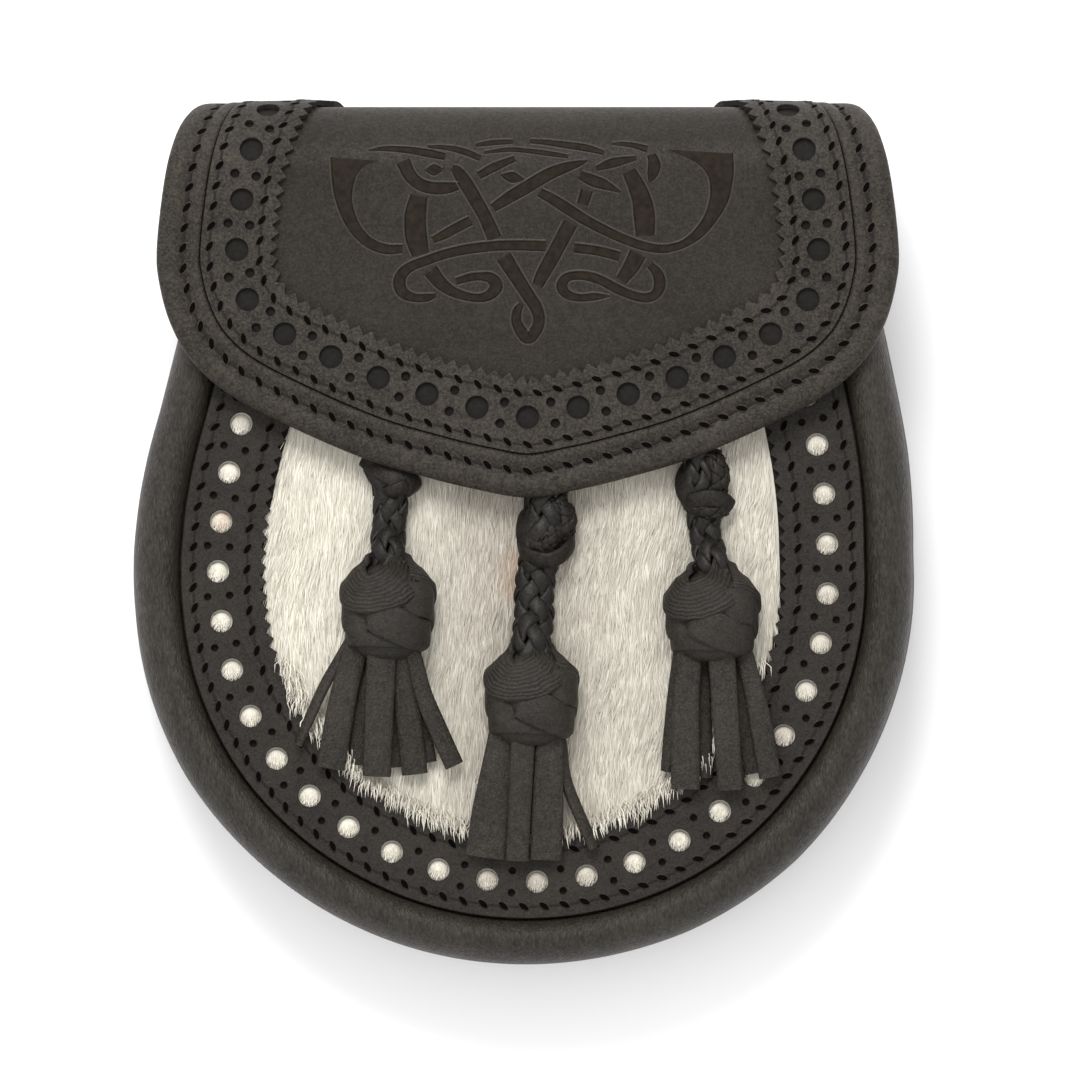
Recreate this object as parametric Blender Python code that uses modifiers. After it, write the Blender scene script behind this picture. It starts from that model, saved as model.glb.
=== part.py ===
"""A leather sporran pouch that lies on its back, with its flap closed over the mouth.

Metres, +Z up. +X is to the right seen from the front, +Y runs up the pouch to the fold of the flap,
and +Z points out of the front. The origin lies under the middle of the pouch, on the surface that it
rests on.
"""

import math

import bmesh
import bpy
from mathutils import Vector

MM = 0.001
GAP = 0.3 * MM  # left between neighbouring pieces

# Body outline seen from the front: a round bottom, an arc that turns each side in, and a straight top
BODY_RADIUS = 95.25 * MM
BODY_CENTRE_Y = -10.9 * MM
SIDE_RADIUS = 167.0 * MM
SIDE_TAPER = math.radians(12.7)
MOUTH_Y = 86.0 * MM
ROUND_STEPS = 18  # stations on a quarter of the round bottom
SIDE_STEPS = 3

# Gusset: a leather channel round the sides and bottom, with a rolled edge behind and in front.
# Columns: inset from the outline, height above the floor, both in mm.
GUSSET_LEATHER = 2.0 * MM
GUSSET_SECTION = (
    (17.0, 10.3),
    (11.2, 10.3),
    (11.2, 3.6),
    (9.0, 0.0),
    (4.6, 0.0),
    (1.4, 3.0),
    (0.2, 9.0),
    (0.0, 20.0),
    (0.0, 36.0),
    (1.3, 42.4),
    (4.2, 46.0),
    (7.4, 46.6),
    (10.2, 44.2),
    (11.4, 39.0),
    (17.0, 39.0),
)

# Back and front walls
BACK_INSET = 11.6 * MM
BACK_FACE_Z = 8.0 * MM
BACK_LEATHER = 2.0 * MM
FRONT_INSET = 11.8 * MM
FRONT_TOP_Y = 80.0 * MM
HIDE_Z = 39.3 * MM
HIDE_THICK = 2.0 * MM
HIDE_TOP_Z = HIDE_Z + HIDE_THICK

# Brogueing: a row of round holes, and an inner edge cut in teeth
RING_LEATHER = 1.6 * MM
RING_Z = HIDE_TOP_Z + GAP
RING_TOP_Z = RING_Z + RING_LEATHER
RING_INNER = 32.6 * MM
RING_HOLE_INSET = 20.8 * MM
RING_HOLE_RADIUS = 2.7 * MM
RING_HOLE_STEP = 12.2 * MM
RING_HOLE_SHIFT = 3.1 * MM  # first hole, right of the lowest point
RING_HOLES_TOP_Y = 45.0 * MM
TOOTH_PITCH = 3.5 * MM
TOOTH_DEPTH = 1.6 * MM
PLAIN_EVERY = 4  # half teeth between the points of a plain stretch
HOLE_SIDES = 10

# Flap: the outline of the flat sheet.
# Columns: half width, distance up the sheet from its tip, both in mm.
FLAP_OUTLINE = (
    (0.0, 0.0),
    (12.0, 1.9),
    (24.0, 4.8),
    (40.0, 9.6),
    (58.0, 17.4),
    (73.0, 25.3),
    (82.0, 33.4),
    (87.0, 42.0),
    (89.8, 51.5),
    (90.6, 61.0),
    (88.4, 80.0),
    (85.0, 92.8),
    (79.5, 102.5),
    (73.0, 111.0),
    (68.5, 124.0),
    (65.2, 140.0),
    (65.0, 155.0),
    (65.0, 170.0),
)
FLAP_LEATHER = 2.0 * MM
FLAP_TIP = Vector((8.2 * MM, 51.6 * MM))  # y and z of the outer face at the tip
FLAP_FOLD = Vector((88.25 * MM, 49.0 * MM))  # where the fold starts in front
FOLD_RADIUS = 16.2 * MM
FOLD_STEPS = 6
TAIL_Z = BACK_FACE_Z - GAP - FLAP_LEATHER
EDGE_STATIONS = 75
FLAP_EDGE_INSET = 1.0 * MM
RIM_WIDTH = 10.6 * MM
BAND_OUTER = RIM_WIDTH + GAP
BAND_INNER = 29.6 * MM
BAND_LEATHER = 1.4 * MM
BAND_HOLE_INSET = 19.6 * MM
BAND_HOLE_RADIUS = 2.85 * MM
BAND_HOLE_STEP = 12.6 * MM
BROGUE_END = 116.0 * MM  # distance up the sheet where the brogueing stops, behind the fold

# Tassels lie on the hide; every place in this table is in mm.
# head: x and y of the head's top. stem: x, y and height of its middle above the hide, from its end under
# the flap. knot: x and y, then half its width, height and depth. tips and under: x and y of the ends of the
# strips in the skirt's upper and lower layer.
STEM_WIDTH = 9.0 * MM
STEM_FLATTEN = 0.76
STEM_SEAT = 5.0 * MM  # length of the straight end that meets the head
TASSELS = (
    dict(
        name="left",
        head=(-33.4, -8.6),
        stem=((-31.0, 22.0, 3.8), (-31.6, 12.0, 3.8), (-32.6, 3.0, 5.0)),
        knot=(-31.6, 12.0, 7.4, 4.8, 3.55),
        tips=((-54.5, -51.0), (-43.0, -58.5), (-34.5, -59.5), (-27.0, -59.5), (-18.0, -57.0)),
        under=((-49.5, -55.0), (-38.0, -57.5), (-30.5, -57.0), (-22.5, -56.5)),
    ),
    dict(
        name="centre",
        head=(1.6, -31.0),
        stem=((6.6, 15.5, 3.8), (5.2, 3.0, 3.8), (3.6, -8.0, 4.0), (2.2, -19.0, 5.8)),
        knot=(4.4, -2.3, 8.1, 7.3, 5.2),
        tips=((-11.4, -78.6), (-2.6, -81.0), (6.0, -80.6)),
        under=((-7.0, -77.5), (1.6, -78.4), (13.6, -80.0)),
    ),
    dict(
        name="right",
        head=(45.7, -11.6),
        stem=((44.0, 26.5, 3.8), (43.6, 10.0, 3.8), (44.4, 0.0, 5.0)),
        knot=(43.4, 10.4, 8.1, 7.5, 5.4),
        tips=((36.8, -62.4), (45.6, -62.4), (53.6, -61.6), (60.2, -60.8)),
        under=((41.2, -59.6), (49.6, -60.0), (57.0, -58.6)),
    ),
)
# Columns: distance down the head from its top, radius, both in mm
HEAD_SECTION = (
    (0.0, 0.0),
    (0.0, 5.4),
    (2.2, 8.2),
    (7.0, 10.6),
    (12.5, 11.6),
    (17.0, 11.2),
    (20.5, 9.6),
    (20.5, 0.0),
)
HEAD_FLATTEN = 0.66
HEAD_STEPS = 12
HEAD_LENGTH = HEAD_SECTION[-1][0] * MM
HEAD_HALF_DEPTH = max(radius for _, radius in HEAD_SECTION) * HEAD_FLATTEN * MM
HEAD_Z = HIDE_TOP_Z + GAP + HEAD_HALF_DEPTH
STRIP_WIDTH = 6.6 * MM
STRIP_LEATHER = 1.5 * MM
STRIP_OVERLAP = 3.0 * MM  # length of a strip inside the head
STRIP_ARCH = 0.6 * MM
SKIRT_BED_Z = RING_TOP_Z + GAP
SKIRT_TOP_WIDTH = 15.0 * MM
SKIRT_STAGGER = 0.45 * MM  # every other strip lies this much higher
# Columns: layer, height of its strips' upper ends over the head's middle, height of the tips over the bed,
# both in mm
SKIRT_LAYERS = (
    ("under", -2.6, 1.0),
    ("tips", 3.4, 3.6),
)

# Hidden pieces
LOOP_X = 38.0 * MM
LOOP_WIDTH = 16.0 * MM
LOOP_LEATHER = 1.8 * MM
# Columns: y, height of the middle of the leather, both in mm
LOOP_SECTION = ((2.0, 6.8), (11.0, 6.8), (15.0, 1.2), (41.0, 1.2), (45.0, 6.8), (54.0, 6.8))
STUD_Y = 32.0 * MM
# Columns: radius, height above the hide, both in mm
STUD_SECTION = (
    (0.0, 6.7),
    (4.6, 6.7),
    (5.2, 6.2),
    (5.2, 4.8),
    (3.0, 4.2),
    (3.0, 1.4),
    (6.0, 1.0),
    (6.0, 0.0),
    (0.0, 0.0),
)
STUD_STEPS = 16


def clear_scene():
    for obj in list(bpy.data.objects):
        bpy.data.objects.remove(obj)


def new_collection(name):
    collection = bpy.data.collections.new(name)
    bpy.context.scene.collection.children.link(collection)
    return collection


def leather(name, colour, roughness, metallic=0.0):
    """A material with the piece's plain colour."""
    material = bpy.data.materials.new(name)
    material.use_nodes = True
    shader = material.node_tree.nodes["Principled BSDF"]
    shader.inputs["Base Color"].default_value = (*colour, 1.0)
    shader.inputs["Roughness"].default_value = roughness
    shader.inputs["Metallic"].default_value = metallic
    return material


def body_outline(inset, top):
    """The body's outline moved in by inset, from the upper left round the bottom to the upper right."""
    centre = Vector((0.0, BODY_CENTRE_Y))
    side_centre = centre + Vector((BODY_RADIUS - SIDE_RADIUS, 0.0))
    half = []
    for step in range(1, ROUND_STEPS + 1):
        angle = math.radians(-90.0 + 90.0 * step / ROUND_STEPS)
        half.append(centre + (BODY_RADIUS - inset) * Vector((math.cos(angle), math.sin(angle))))
    for step in range(1, SIDE_STEPS + 1):
        angle = SIDE_TAPER * step / SIDE_STEPS
        half.append(side_centre + (SIDE_RADIUS - inset) * Vector((math.cos(angle), math.sin(angle))))
    rise = top - half[-1].y
    half.append(half[-1] + Vector((-rise * math.tan(SIDE_TAPER), rise)))
    lowest = centre + Vector((0.0, inset - BODY_RADIUS))
    return [Vector((-p.x, p.y)) for p in reversed(half)] + [lowest] + half


def smooth_path(points, steps):
    """A curve through the points, with steps pieces between each two of them (Catmull-Rom)."""
    padded = [2 * points[0] - points[1], *points, 2 * points[-1] - points[-2]]
    path = []
    for before, start, end, after in zip(padded, padded[1:], padded[2:], padded[3:]):
        for step in range(steps):
            t = step / steps
            path.append(
                0.5
                * (
                    2 * start
                    + (end - before) * t
                    + (2 * before - 5 * start + 4 * end - after) * t**2
                    + (3 * start - before - 3 * end + after) * t**3
                )
            )
    return [*path, points[-1]]


def along(path, distances):
    """The points at these distances along a path."""
    found = []
    travelled = 0.0
    index = 0
    for distance in distances:
        while index < len(path) - 2 and travelled + (path[index + 1] - path[index]).length < distance:
            travelled += (path[index + 1] - path[index]).length
            index += 1
        piece = path[index + 1] - path[index]
        found.append(path[index] + piece * ((distance - travelled) / piece.length))
    return found


def length_of(path):
    return sum((b - a).length for a, b in zip(path, path[1:]))


def moved_in(path, inset):
    """The path moved to its left by inset, which is inwards on an outline that runs left, down and right."""
    moved = []
    for index, point in enumerate(path):
        tangent = path[min(index + 1, len(path) - 1)] - path[max(index - 1, 0)]
        tangent.normalize()
        moved.append(point + inset * Vector((-tangent.y, tangent.x)))
    return moved


def flap_outline():
    """The flat sheet's outline, as stations at equal distances from one end of the tail to the other."""
    half = [Vector((x * MM, y * MM)) for x, y in FLAP_OUTLINE]
    corners = [Vector((-p.x, p.y)) for p in reversed(half[1:])] + half
    path = smooth_path(corners, 8)
    total = length_of(path)
    stations = along(path, [total * i / EDGE_STATIONS for i in range(EDGE_STATIONS + 1)])
    ends = FLAP_OUTLINE[-1][0] * MM
    stations[0] = Vector((-ends, FLAP_OUTLINE[-1][1] * MM))
    stations[-1] = Vector((ends, FLAP_OUTLINE[-1][1] * MM))
    return stations


def toothed(path, depth, reaches):
    """The path with teeth cut inwards to depth where reaches(point) is true, and plain elsewhere."""
    total = length_of(path)
    count = 2 * round(total / TOOTH_PITCH)
    line = along(path, [total * i / count for i in range(count + 1)])
    cut = moved_in(line, -depth)
    outline = [line[0]]
    for index in range(1, count):
        if reaches(line[index]):
            outline.append(cut[index] if index % 2 else line[index])
        elif index % PLAIN_EVERY == 0:
            outline.append(line[index])
    return [*outline, line[-1]]


def hole(centre, radius):
    turns = [math.tau * i / HOLE_SIDES for i in range(HOLE_SIDES)]
    return [centre + radius * Vector((math.cos(a), math.sin(a))) for a in turns]


def hole_centres(path, step, shift, top):
    """Places at equal steps both ways from the middle of a path, as far up as top."""
    middle = 0.5 * length_of(path) + shift
    count = int(middle / step)
    distances = [middle + step * i for i in range(-count, count + 1)]
    distances = [d for d in distances if 0.0 < d < length_of(path)]
    return [p for p in along(path, distances) if p.y < top]


def place(name, mesh, collection, material):
    """A mesh as a smooth-shaded object of this collection."""
    mesh.name = name
    obj = bpy.data.objects.new(name, mesh)
    collection.objects.link(obj)
    mesh.materials.append(material)
    mesh.shade_smooth()
    mesh.set_sharp_from_angle(angle=math.radians(35))
    return obj


def cut_sheet(outlines, thickness):
    """A flat sheet cut to closed outlines, holes included, with its lower face at z = 0."""
    curve = bpy.data.curves.new("cut", "CURVE")
    curve.dimensions = "2D"
    curve.fill_mode = "BOTH"
    curve.extrude = thickness / 2
    for outline in outlines:
        spline = curve.splines.new("POLY")
        spline.points.add(len(outline) - 1)
        for point, place_2d in zip(spline.points, outline):
            point.co = (place_2d.x, place_2d.y, 0.0, 1.0)
        spline.use_cyclic_u = True
    return lift(from_curve(curve), thickness / 2)


def fold_lines():
    """The flap's side view as fold lines: (distance up the sheet, place, unit normal times its mitre)."""
    quarter = math.pi / 2
    places = [FLAP_TIP.copy(), FLAP_FOLD.copy()]
    centre = FLAP_FOLD - Vector((0.0, FOLD_RADIUS))
    for step in range(1, FOLD_STEPS + 1):
        angle = quarter - quarter * step / FOLD_STEPS
        places.append(centre + FOLD_RADIUS * Vector((math.cos(angle), math.sin(angle))))
    centre = Vector((FLAP_FOLD.x, TAIL_Z + FOLD_RADIUS))
    for step in range(FOLD_STEPS + 1):
        angle = -quarter * step / FOLD_STEPS
        places.append(centre + FOLD_RADIUS * Vector((math.cos(angle), math.sin(angle))))
    used = length_of(places)
    tail = FLAP_OUTLINE[-1][1] * MM - used
    places.append(Vector((FLAP_FOLD.x - tail, TAIL_Z)))
    lines = []
    distance = 0.0
    for index, spot in enumerate(places):
        if index:
            distance += (spot - places[index - 1]).length
        before = (spot - places[index - 1]).normalized() if index else None
        after = (places[index + 1] - spot).normalized() if index + 1 < len(places) else before
        before = before or after
        mean = (before + after).normalized()
        normal = Vector((-mean.y, mean.x)) / mean.dot(after)
        lines.append((distance, spot, normal))
    return lines


def bend(mesh, rise):
    """Folds a flat sheet over the mouth, with its lower face at rise from the flap's outer face."""
    lines = fold_lines()
    sheet = bmesh.new()
    sheet.from_mesh(mesh)
    for distance, _, _ in lines[1:-1]:
        geometry = [*sheet.verts, *sheet.edges, *sheet.faces]
        bmesh.ops.bisect_plane(
            sheet, geom=geometry, dist=0.001 * MM, plane_co=(0.0, distance, 0.0), plane_no=(0.0, 1.0, 0.0)
        )
    for vert in sheet.verts:
        index = 0
        while index < len(lines) - 2 and vert.co.y > lines[index + 1][0]:
            index += 1
        start, end = lines[index], lines[index + 1]
        share = (vert.co.y - start[0]) / (end[0] - start[0])
        height = vert.co.z + rise
        spot = (start[1] + start[2] * height).lerp(end[1] + end[2] * height, share)
        vert.co = (vert.co.x, spot.x, spot.y)
    bmesh.ops.recalc_face_normals(sheet, faces=sheet.faces)
    sheet.to_mesh(mesh)
    sheet.free()
    return mesh


def lift(mesh, height):
    for vertex in mesh.vertices:
        vertex.co.z += height
    return mesh


def make_gusset(collection, material):
    """The hollow channel: its outer skin lofted round the outline, then thickened inwards."""
    rows = [body_outline(inset * MM, MOUTH_Y) for inset, _ in GUSSET_SECTION]
    points = []
    for row, (_, height) in zip(rows, GUSSET_SECTION):
        points += [(p.x, p.y, height * MM) for p in row]
    width = len(rows[0])
    faces = []
    for i in range(len(rows) - 1):
        for j in range(width - 1):
            corner = i * width + j
            faces.append((corner, corner + 1, corner + width + 1, corner + width))
    mesh = bpy.data.meshes.new("gusset")
    mesh.from_pydata(points, [], faces)
    gusset = place("gusset", mesh, collection, material)
    shell = gusset.modifiers.new("leather", "SOLIDIFY")
    shell.thickness = GUSSET_LEATHER
    shell.offset = -1.0
    shell.use_even_offset = True
    return gusset


def make_walls(collection, material, hide):
    """The back panel, and the hide that closes the front."""
    back = cut_sheet([body_outline(BACK_INSET, MOUTH_Y)], BACK_LEATHER)
    place("back_panel", lift(back, BACK_FACE_Z), collection, material)
    front = cut_sheet([body_outline(FRONT_INSET, FRONT_TOP_Y)], HIDE_THICK)
    place("fur_panel", lift(front, HIDE_Z), collection, hide)


def make_ring(collection, material):
    """The brogued frame on the hide, open at the top under the flap."""
    outer = body_outline(FRONT_INSET, FRONT_TOP_Y)
    inner = toothed(body_outline(RING_INNER, FRONT_TOP_Y), TOOTH_DEPTH, lambda p: p.y < RING_HOLES_TOP_Y)
    row = body_outline(RING_HOLE_INSET, FRONT_TOP_Y)
    centres = hole_centres(row, RING_HOLE_STEP, RING_HOLE_SHIFT, RING_HOLES_TOP_Y)
    outlines = [outer + inner[::-1]] + [hole(c, RING_HOLE_RADIUS) for c in centres]
    mesh = cut_sheet(outlines, RING_LEATHER)
    place("border_ring", lift(mesh, RING_Z), collection, material)


def make_flap(collection, material):
    """The flap's sheet, with the padded rim and the brogued band on it."""
    edge = flap_outline()
    mesh = bend(cut_sheet([moved_in(edge, FLAP_EDGE_INSET)], FLAP_LEATHER), -FLAP_LEATHER)
    place("flap", mesh, collection, material)
    mesh = bend(cut_sheet([edge + moved_in(edge, RIM_WIDTH)[::-1]], BAND_LEATHER), GAP)
    place("flap_rim", mesh, collection, material)
    inner = toothed(moved_in(edge, BAND_INNER), TOOTH_DEPTH, lambda p: p.y < BROGUE_END)
    centres = hole_centres(moved_in(edge, BAND_HOLE_INSET), BAND_HOLE_STEP, 0.0, BROGUE_END)
    outlines = [moved_in(edge, BAND_OUTER) + inner[::-1]]
    outlines += [hole(c, BAND_HOLE_RADIUS) for c in centres]
    mesh = bend(cut_sheet(outlines, BAND_LEATHER), GAP)
    place("flap_band", mesh, collection, material)


def turned(profile, steps):
    """A mesh turned about the Y axis from (radius, y) pairs whose ends lie on the axis."""
    shape = bmesh.new()
    points = [shape.verts.new((radius, y, 0.0)) for radius, y in profile]
    edges = [shape.edges.new(pair) for pair in zip(points, points[1:])]
    bmesh.ops.spin(
        shape, geom=points + edges, cent=(0, 0, 0), axis=(0, 1, 0), angle=math.tau, steps=steps, use_merge=True
    )
    bmesh.ops.remove_doubles(shape, verts=shape.verts, dist=0.001 * MM)
    bmesh.ops.recalc_face_normals(shape, faces=shape.faces)
    mesh = bpy.data.meshes.new("turned")
    shape.to_mesh(mesh)
    shape.free()
    return mesh


def from_curve(curve):
    """The mesh of a curve, with its caps welded on."""
    guide = bpy.data.objects.new("guide", curve)
    bpy.context.scene.collection.objects.link(guide)
    graph = bpy.context.evaluated_depsgraph_get()
    mesh = bpy.data.meshes.new_from_object(guide.evaluated_get(graph))
    bpy.data.objects.remove(guide)
    solid = bmesh.new()
    solid.from_mesh(mesh)
    bmesh.ops.remove_doubles(solid, verts=solid.verts, dist=0.001 * MM)
    bmesh.ops.recalc_face_normals(solid, faces=solid.faces)
    solid.to_mesh(mesh)
    solid.free()
    return mesh


def ribbon(name, path, side):
    """An open strip of quads along a path, side being half its width as a vector."""
    points = [corner for spot in path for corner in (spot - side, spot + side)]
    faces = [(2 * i, 2 * i + 1, 2 * i + 3, 2 * i + 2) for i in range(len(path) - 1)]
    mesh = bpy.data.meshes.new(name)
    mesh.from_pydata(points, [], faces)
    return mesh


def thicken(obj, thickness):
    """Gives an open surface its leather's thickness, half on each side."""
    shell = obj.modifiers.new("leather", "SOLIDIFY")
    shell.thickness = thickness
    shell.offset = 0.0
    shell.use_even_offset = True


def helper(name, mesh, helpers):
    """A mesh that only takes part in a Boolean."""
    obj = bpy.data.objects.new(name, mesh)
    helpers.objects.link(obj)
    obj.hide_render = True
    obj.display_type = "WIRE"
    return obj


def fuse(body, parts):
    for part in parts:
        union = body.modifiers.new(part.name, "BOOLEAN")
        union.operation = "UNION"
        union.solver = "EXACT"
        union.object = part


def strip(name, root, tip, helpers):
    """One leather strip of a skirt, from inside the head down to its tip."""
    middle = (root + tip) / 2 + Vector((0.0, 0.0, STRIP_ARCH))
    down = Vector((tip.x - root.x, tip.y - root.y, 0.0)).normalized()
    side = Vector((-down.y, down.x, 0.0)) * (STRIP_WIDTH / 2)
    obj = helper(name, ribbon(name, smooth_path([root, middle, tip], 2), side), helpers)
    thicken(obj, STRIP_LEATHER)
    return obj


def make_tassel(row, collection, helpers, material):
    """A woven head with its skirt, in one solid that lies on the hide."""
    head_x, head_y = (value * MM for value in row["head"])
    mesh = turned([(radius * MM, -down * MM) for down, radius in HEAD_SECTION], HEAD_STEPS)
    for vertex in mesh.vertices:
        x, y, z = vertex.co
        vertex.co = (x + head_x, y + head_y, z * HEAD_FLATTEN + HEAD_Z)
    head = place("tassel_" + row["name"], mesh, collection, material)
    strips = []
    for layer, root_rise, tip_rise in SKIRT_LAYERS:
        for index, (x, y) in enumerate(row[layer]):
            across = ((index + 0.5) / len(row[layer]) - 0.5) * SKIRT_TOP_WIDTH
            root = Vector((head_x + across, head_y - HEAD_LENGTH + STRIP_OVERLAP, HEAD_Z + root_rise * MM))
            tip_z = SKIRT_BED_Z + tip_rise * MM + SKIRT_STAGGER * (index % 2)
            name = f"{row['name']}_{layer}_{index}"
            strips.append(strip(name, root, Vector((x * MM, y * MM, tip_z)), helpers))
    fuse(head, strips)


def make_stem(row, collection, helpers, material):
    """The braided stem as a flattened tube from under the flap to the head, with its knot."""
    head_x, head_y = (value * MM for value in row["head"])
    route = [Vector((x * MM, y * MM, HIDE_TOP_Z + height * MM)) for x, y, height in row["stem"]]
    route.append(Vector((head_x, head_y + STEM_SEAT, HEAD_Z)))
    curve = bpy.data.curves.new("stem", "CURVE")
    curve.dimensions = "3D"
    curve.bevel_depth = STEM_WIDTH / 2
    curve.bevel_resolution = 3
    curve.use_fill_caps = True
    path = [*smooth_path(route, 3), Vector((head_x, head_y + GAP, HEAD_Z))]
    spline = curve.splines.new("POLY")
    spline.points.add(len(path) - 1)
    for point, spot in zip(spline.points, path):
        point.co = (spot.x, spot.y, spot.z / STEM_FLATTEN, 1.0)
    mesh = from_curve(curve)
    for vertex in mesh.vertices:
        vertex.co.z *= STEM_FLATTEN
    stem = place("stem_" + row["name"], mesh, collection, material)
    x, y, half_width, half_height, half_depth = (value * MM for value in row["knot"])
    ball = bmesh.new()
    bmesh.ops.create_uvsphere(ball, u_segments=12, v_segments=7, radius=1.0)
    bmesh.ops.scale(ball, vec=(half_width, half_height, half_depth), verts=ball.verts)
    bmesh.ops.translate(ball, vec=(x, y, HIDE_TOP_Z + GAP + half_depth), verts=ball.verts)
    name = "knot_" + row["name"]
    knot_mesh = bpy.data.meshes.new(name)
    ball.to_mesh(knot_mesh)
    ball.free()
    fuse(stem, [helper(name, knot_mesh, helpers)])


def make_belt_loops(collection, material):
    """Two leather loops on the back, which bridge the recess without reaching the floor."""
    side = Vector((LOOP_WIDTH / 2, 0.0, 0.0))
    for name, x in (("belt_loop_left", -LOOP_X), ("belt_loop_right", LOOP_X)):
        path = [Vector((x, y * MM, height * MM)) for y, height in LOOP_SECTION]
        thicken(place(name, ribbon(name, path, side), collection, material), LOOP_LEATHER)


def make_stud(collection, material):
    """The plain stud that the flap's tip closes on."""
    profile = [(radius * MM, height * MM) for radius, height in STUD_SECTION]
    mesh = turned(profile, STUD_STEPS)
    for vertex in mesh.vertices:
        x, y, z = vertex.co
        vertex.co = (x, STUD_Y - z, HIDE_TOP_Z + GAP + y)
    place("closure_stud", mesh, collection, material)


def main():
    clear_scene()
    pouch = new_collection("sporran_pouch")
    helpers = new_collection("helpers")
    helpers.hide_render = True
    black = leather("black_leather", (0.045, 0.04, 0.037), 0.55)
    glossy = leather("braided_leather", (0.02, 0.018, 0.018), 0.38)
    fur = leather("cream_hide", (0.72, 0.69, 0.62), 0.8)
    steel = leather("plain_stud", (0.35, 0.34, 0.33), 0.35, 1.0)
    make_gusset(pouch, black)
    make_walls(pouch, black, fur)
    make_ring(pouch, black)
    make_flap(pouch, black)
    for row in TASSELS:
        make_tassel(row, pouch, helpers, glossy)
        make_stem(row, pouch, helpers, glossy)
    make_belt_loops(pouch, black)
    make_stud(pouch, steel)


main()
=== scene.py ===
"""A leather sporran pouch on a pale floor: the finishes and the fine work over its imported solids.

Metres. +X is to the right seen from the front, +Y runs up the pouch to the fold of its flap and +Z points
out of the front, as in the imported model. Tables are in millimetres where they say so.
"""

import logging
import math
from collections.abc import Sequence
from dataclasses import dataclass
from enum import Enum
from functools import cache, partial, reduce

import bmesh
import bpy
import numpy as np
from mathutils import Matrix, Vector, geometry


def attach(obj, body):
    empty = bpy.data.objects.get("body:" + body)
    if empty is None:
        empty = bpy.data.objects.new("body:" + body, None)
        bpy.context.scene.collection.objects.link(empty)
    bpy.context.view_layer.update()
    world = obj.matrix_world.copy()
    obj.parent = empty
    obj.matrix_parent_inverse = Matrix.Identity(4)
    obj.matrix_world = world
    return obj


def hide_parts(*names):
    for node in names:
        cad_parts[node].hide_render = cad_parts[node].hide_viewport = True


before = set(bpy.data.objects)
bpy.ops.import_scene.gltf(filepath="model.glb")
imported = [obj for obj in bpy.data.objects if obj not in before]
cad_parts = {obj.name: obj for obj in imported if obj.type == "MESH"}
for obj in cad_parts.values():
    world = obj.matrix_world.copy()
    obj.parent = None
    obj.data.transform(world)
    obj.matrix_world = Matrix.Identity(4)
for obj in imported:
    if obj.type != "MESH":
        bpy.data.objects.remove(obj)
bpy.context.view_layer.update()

log = logging.getLogger("sporran")
MM = 0.001
BODY = "root"
MESH_STEP = 2.0 * MM  # between the points inside a flat piece of leather
CUT_CREASE = 12.0  # edges sharper than this many degrees stay sharp: on cut leather, and on soft shapes
SOFT_CREASE = 50.0
KEEPS_LAST = 0.995  # makes the steps of a row a little shorter, so that rounding never drops the last one
TINY = 1e-9  # lets directions travel with the points of a path without adding to its length
UP = (0.0, 0.0, 1.0)
Array = np.ndarray
Colour = tuple[float, float, float]
Mesh = bpy.types.Mesh
Object = bpy.types.Object
Socket = bpy.types.NodeSocket
Table = tuple[tuple[float, ...], ...]


class Slot(Enum):
    """The record's material slots."""

    BLACK = "black_leather"
    ROLLED = "rolled_leather"
    FLAP = "flap_leather"
    BRAIDED = "braided_leather"
    HIDE = "hair_hide"
    STEEL = "stud_metal"


# ---------------------------------------------------------------- nodes and finishes


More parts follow.
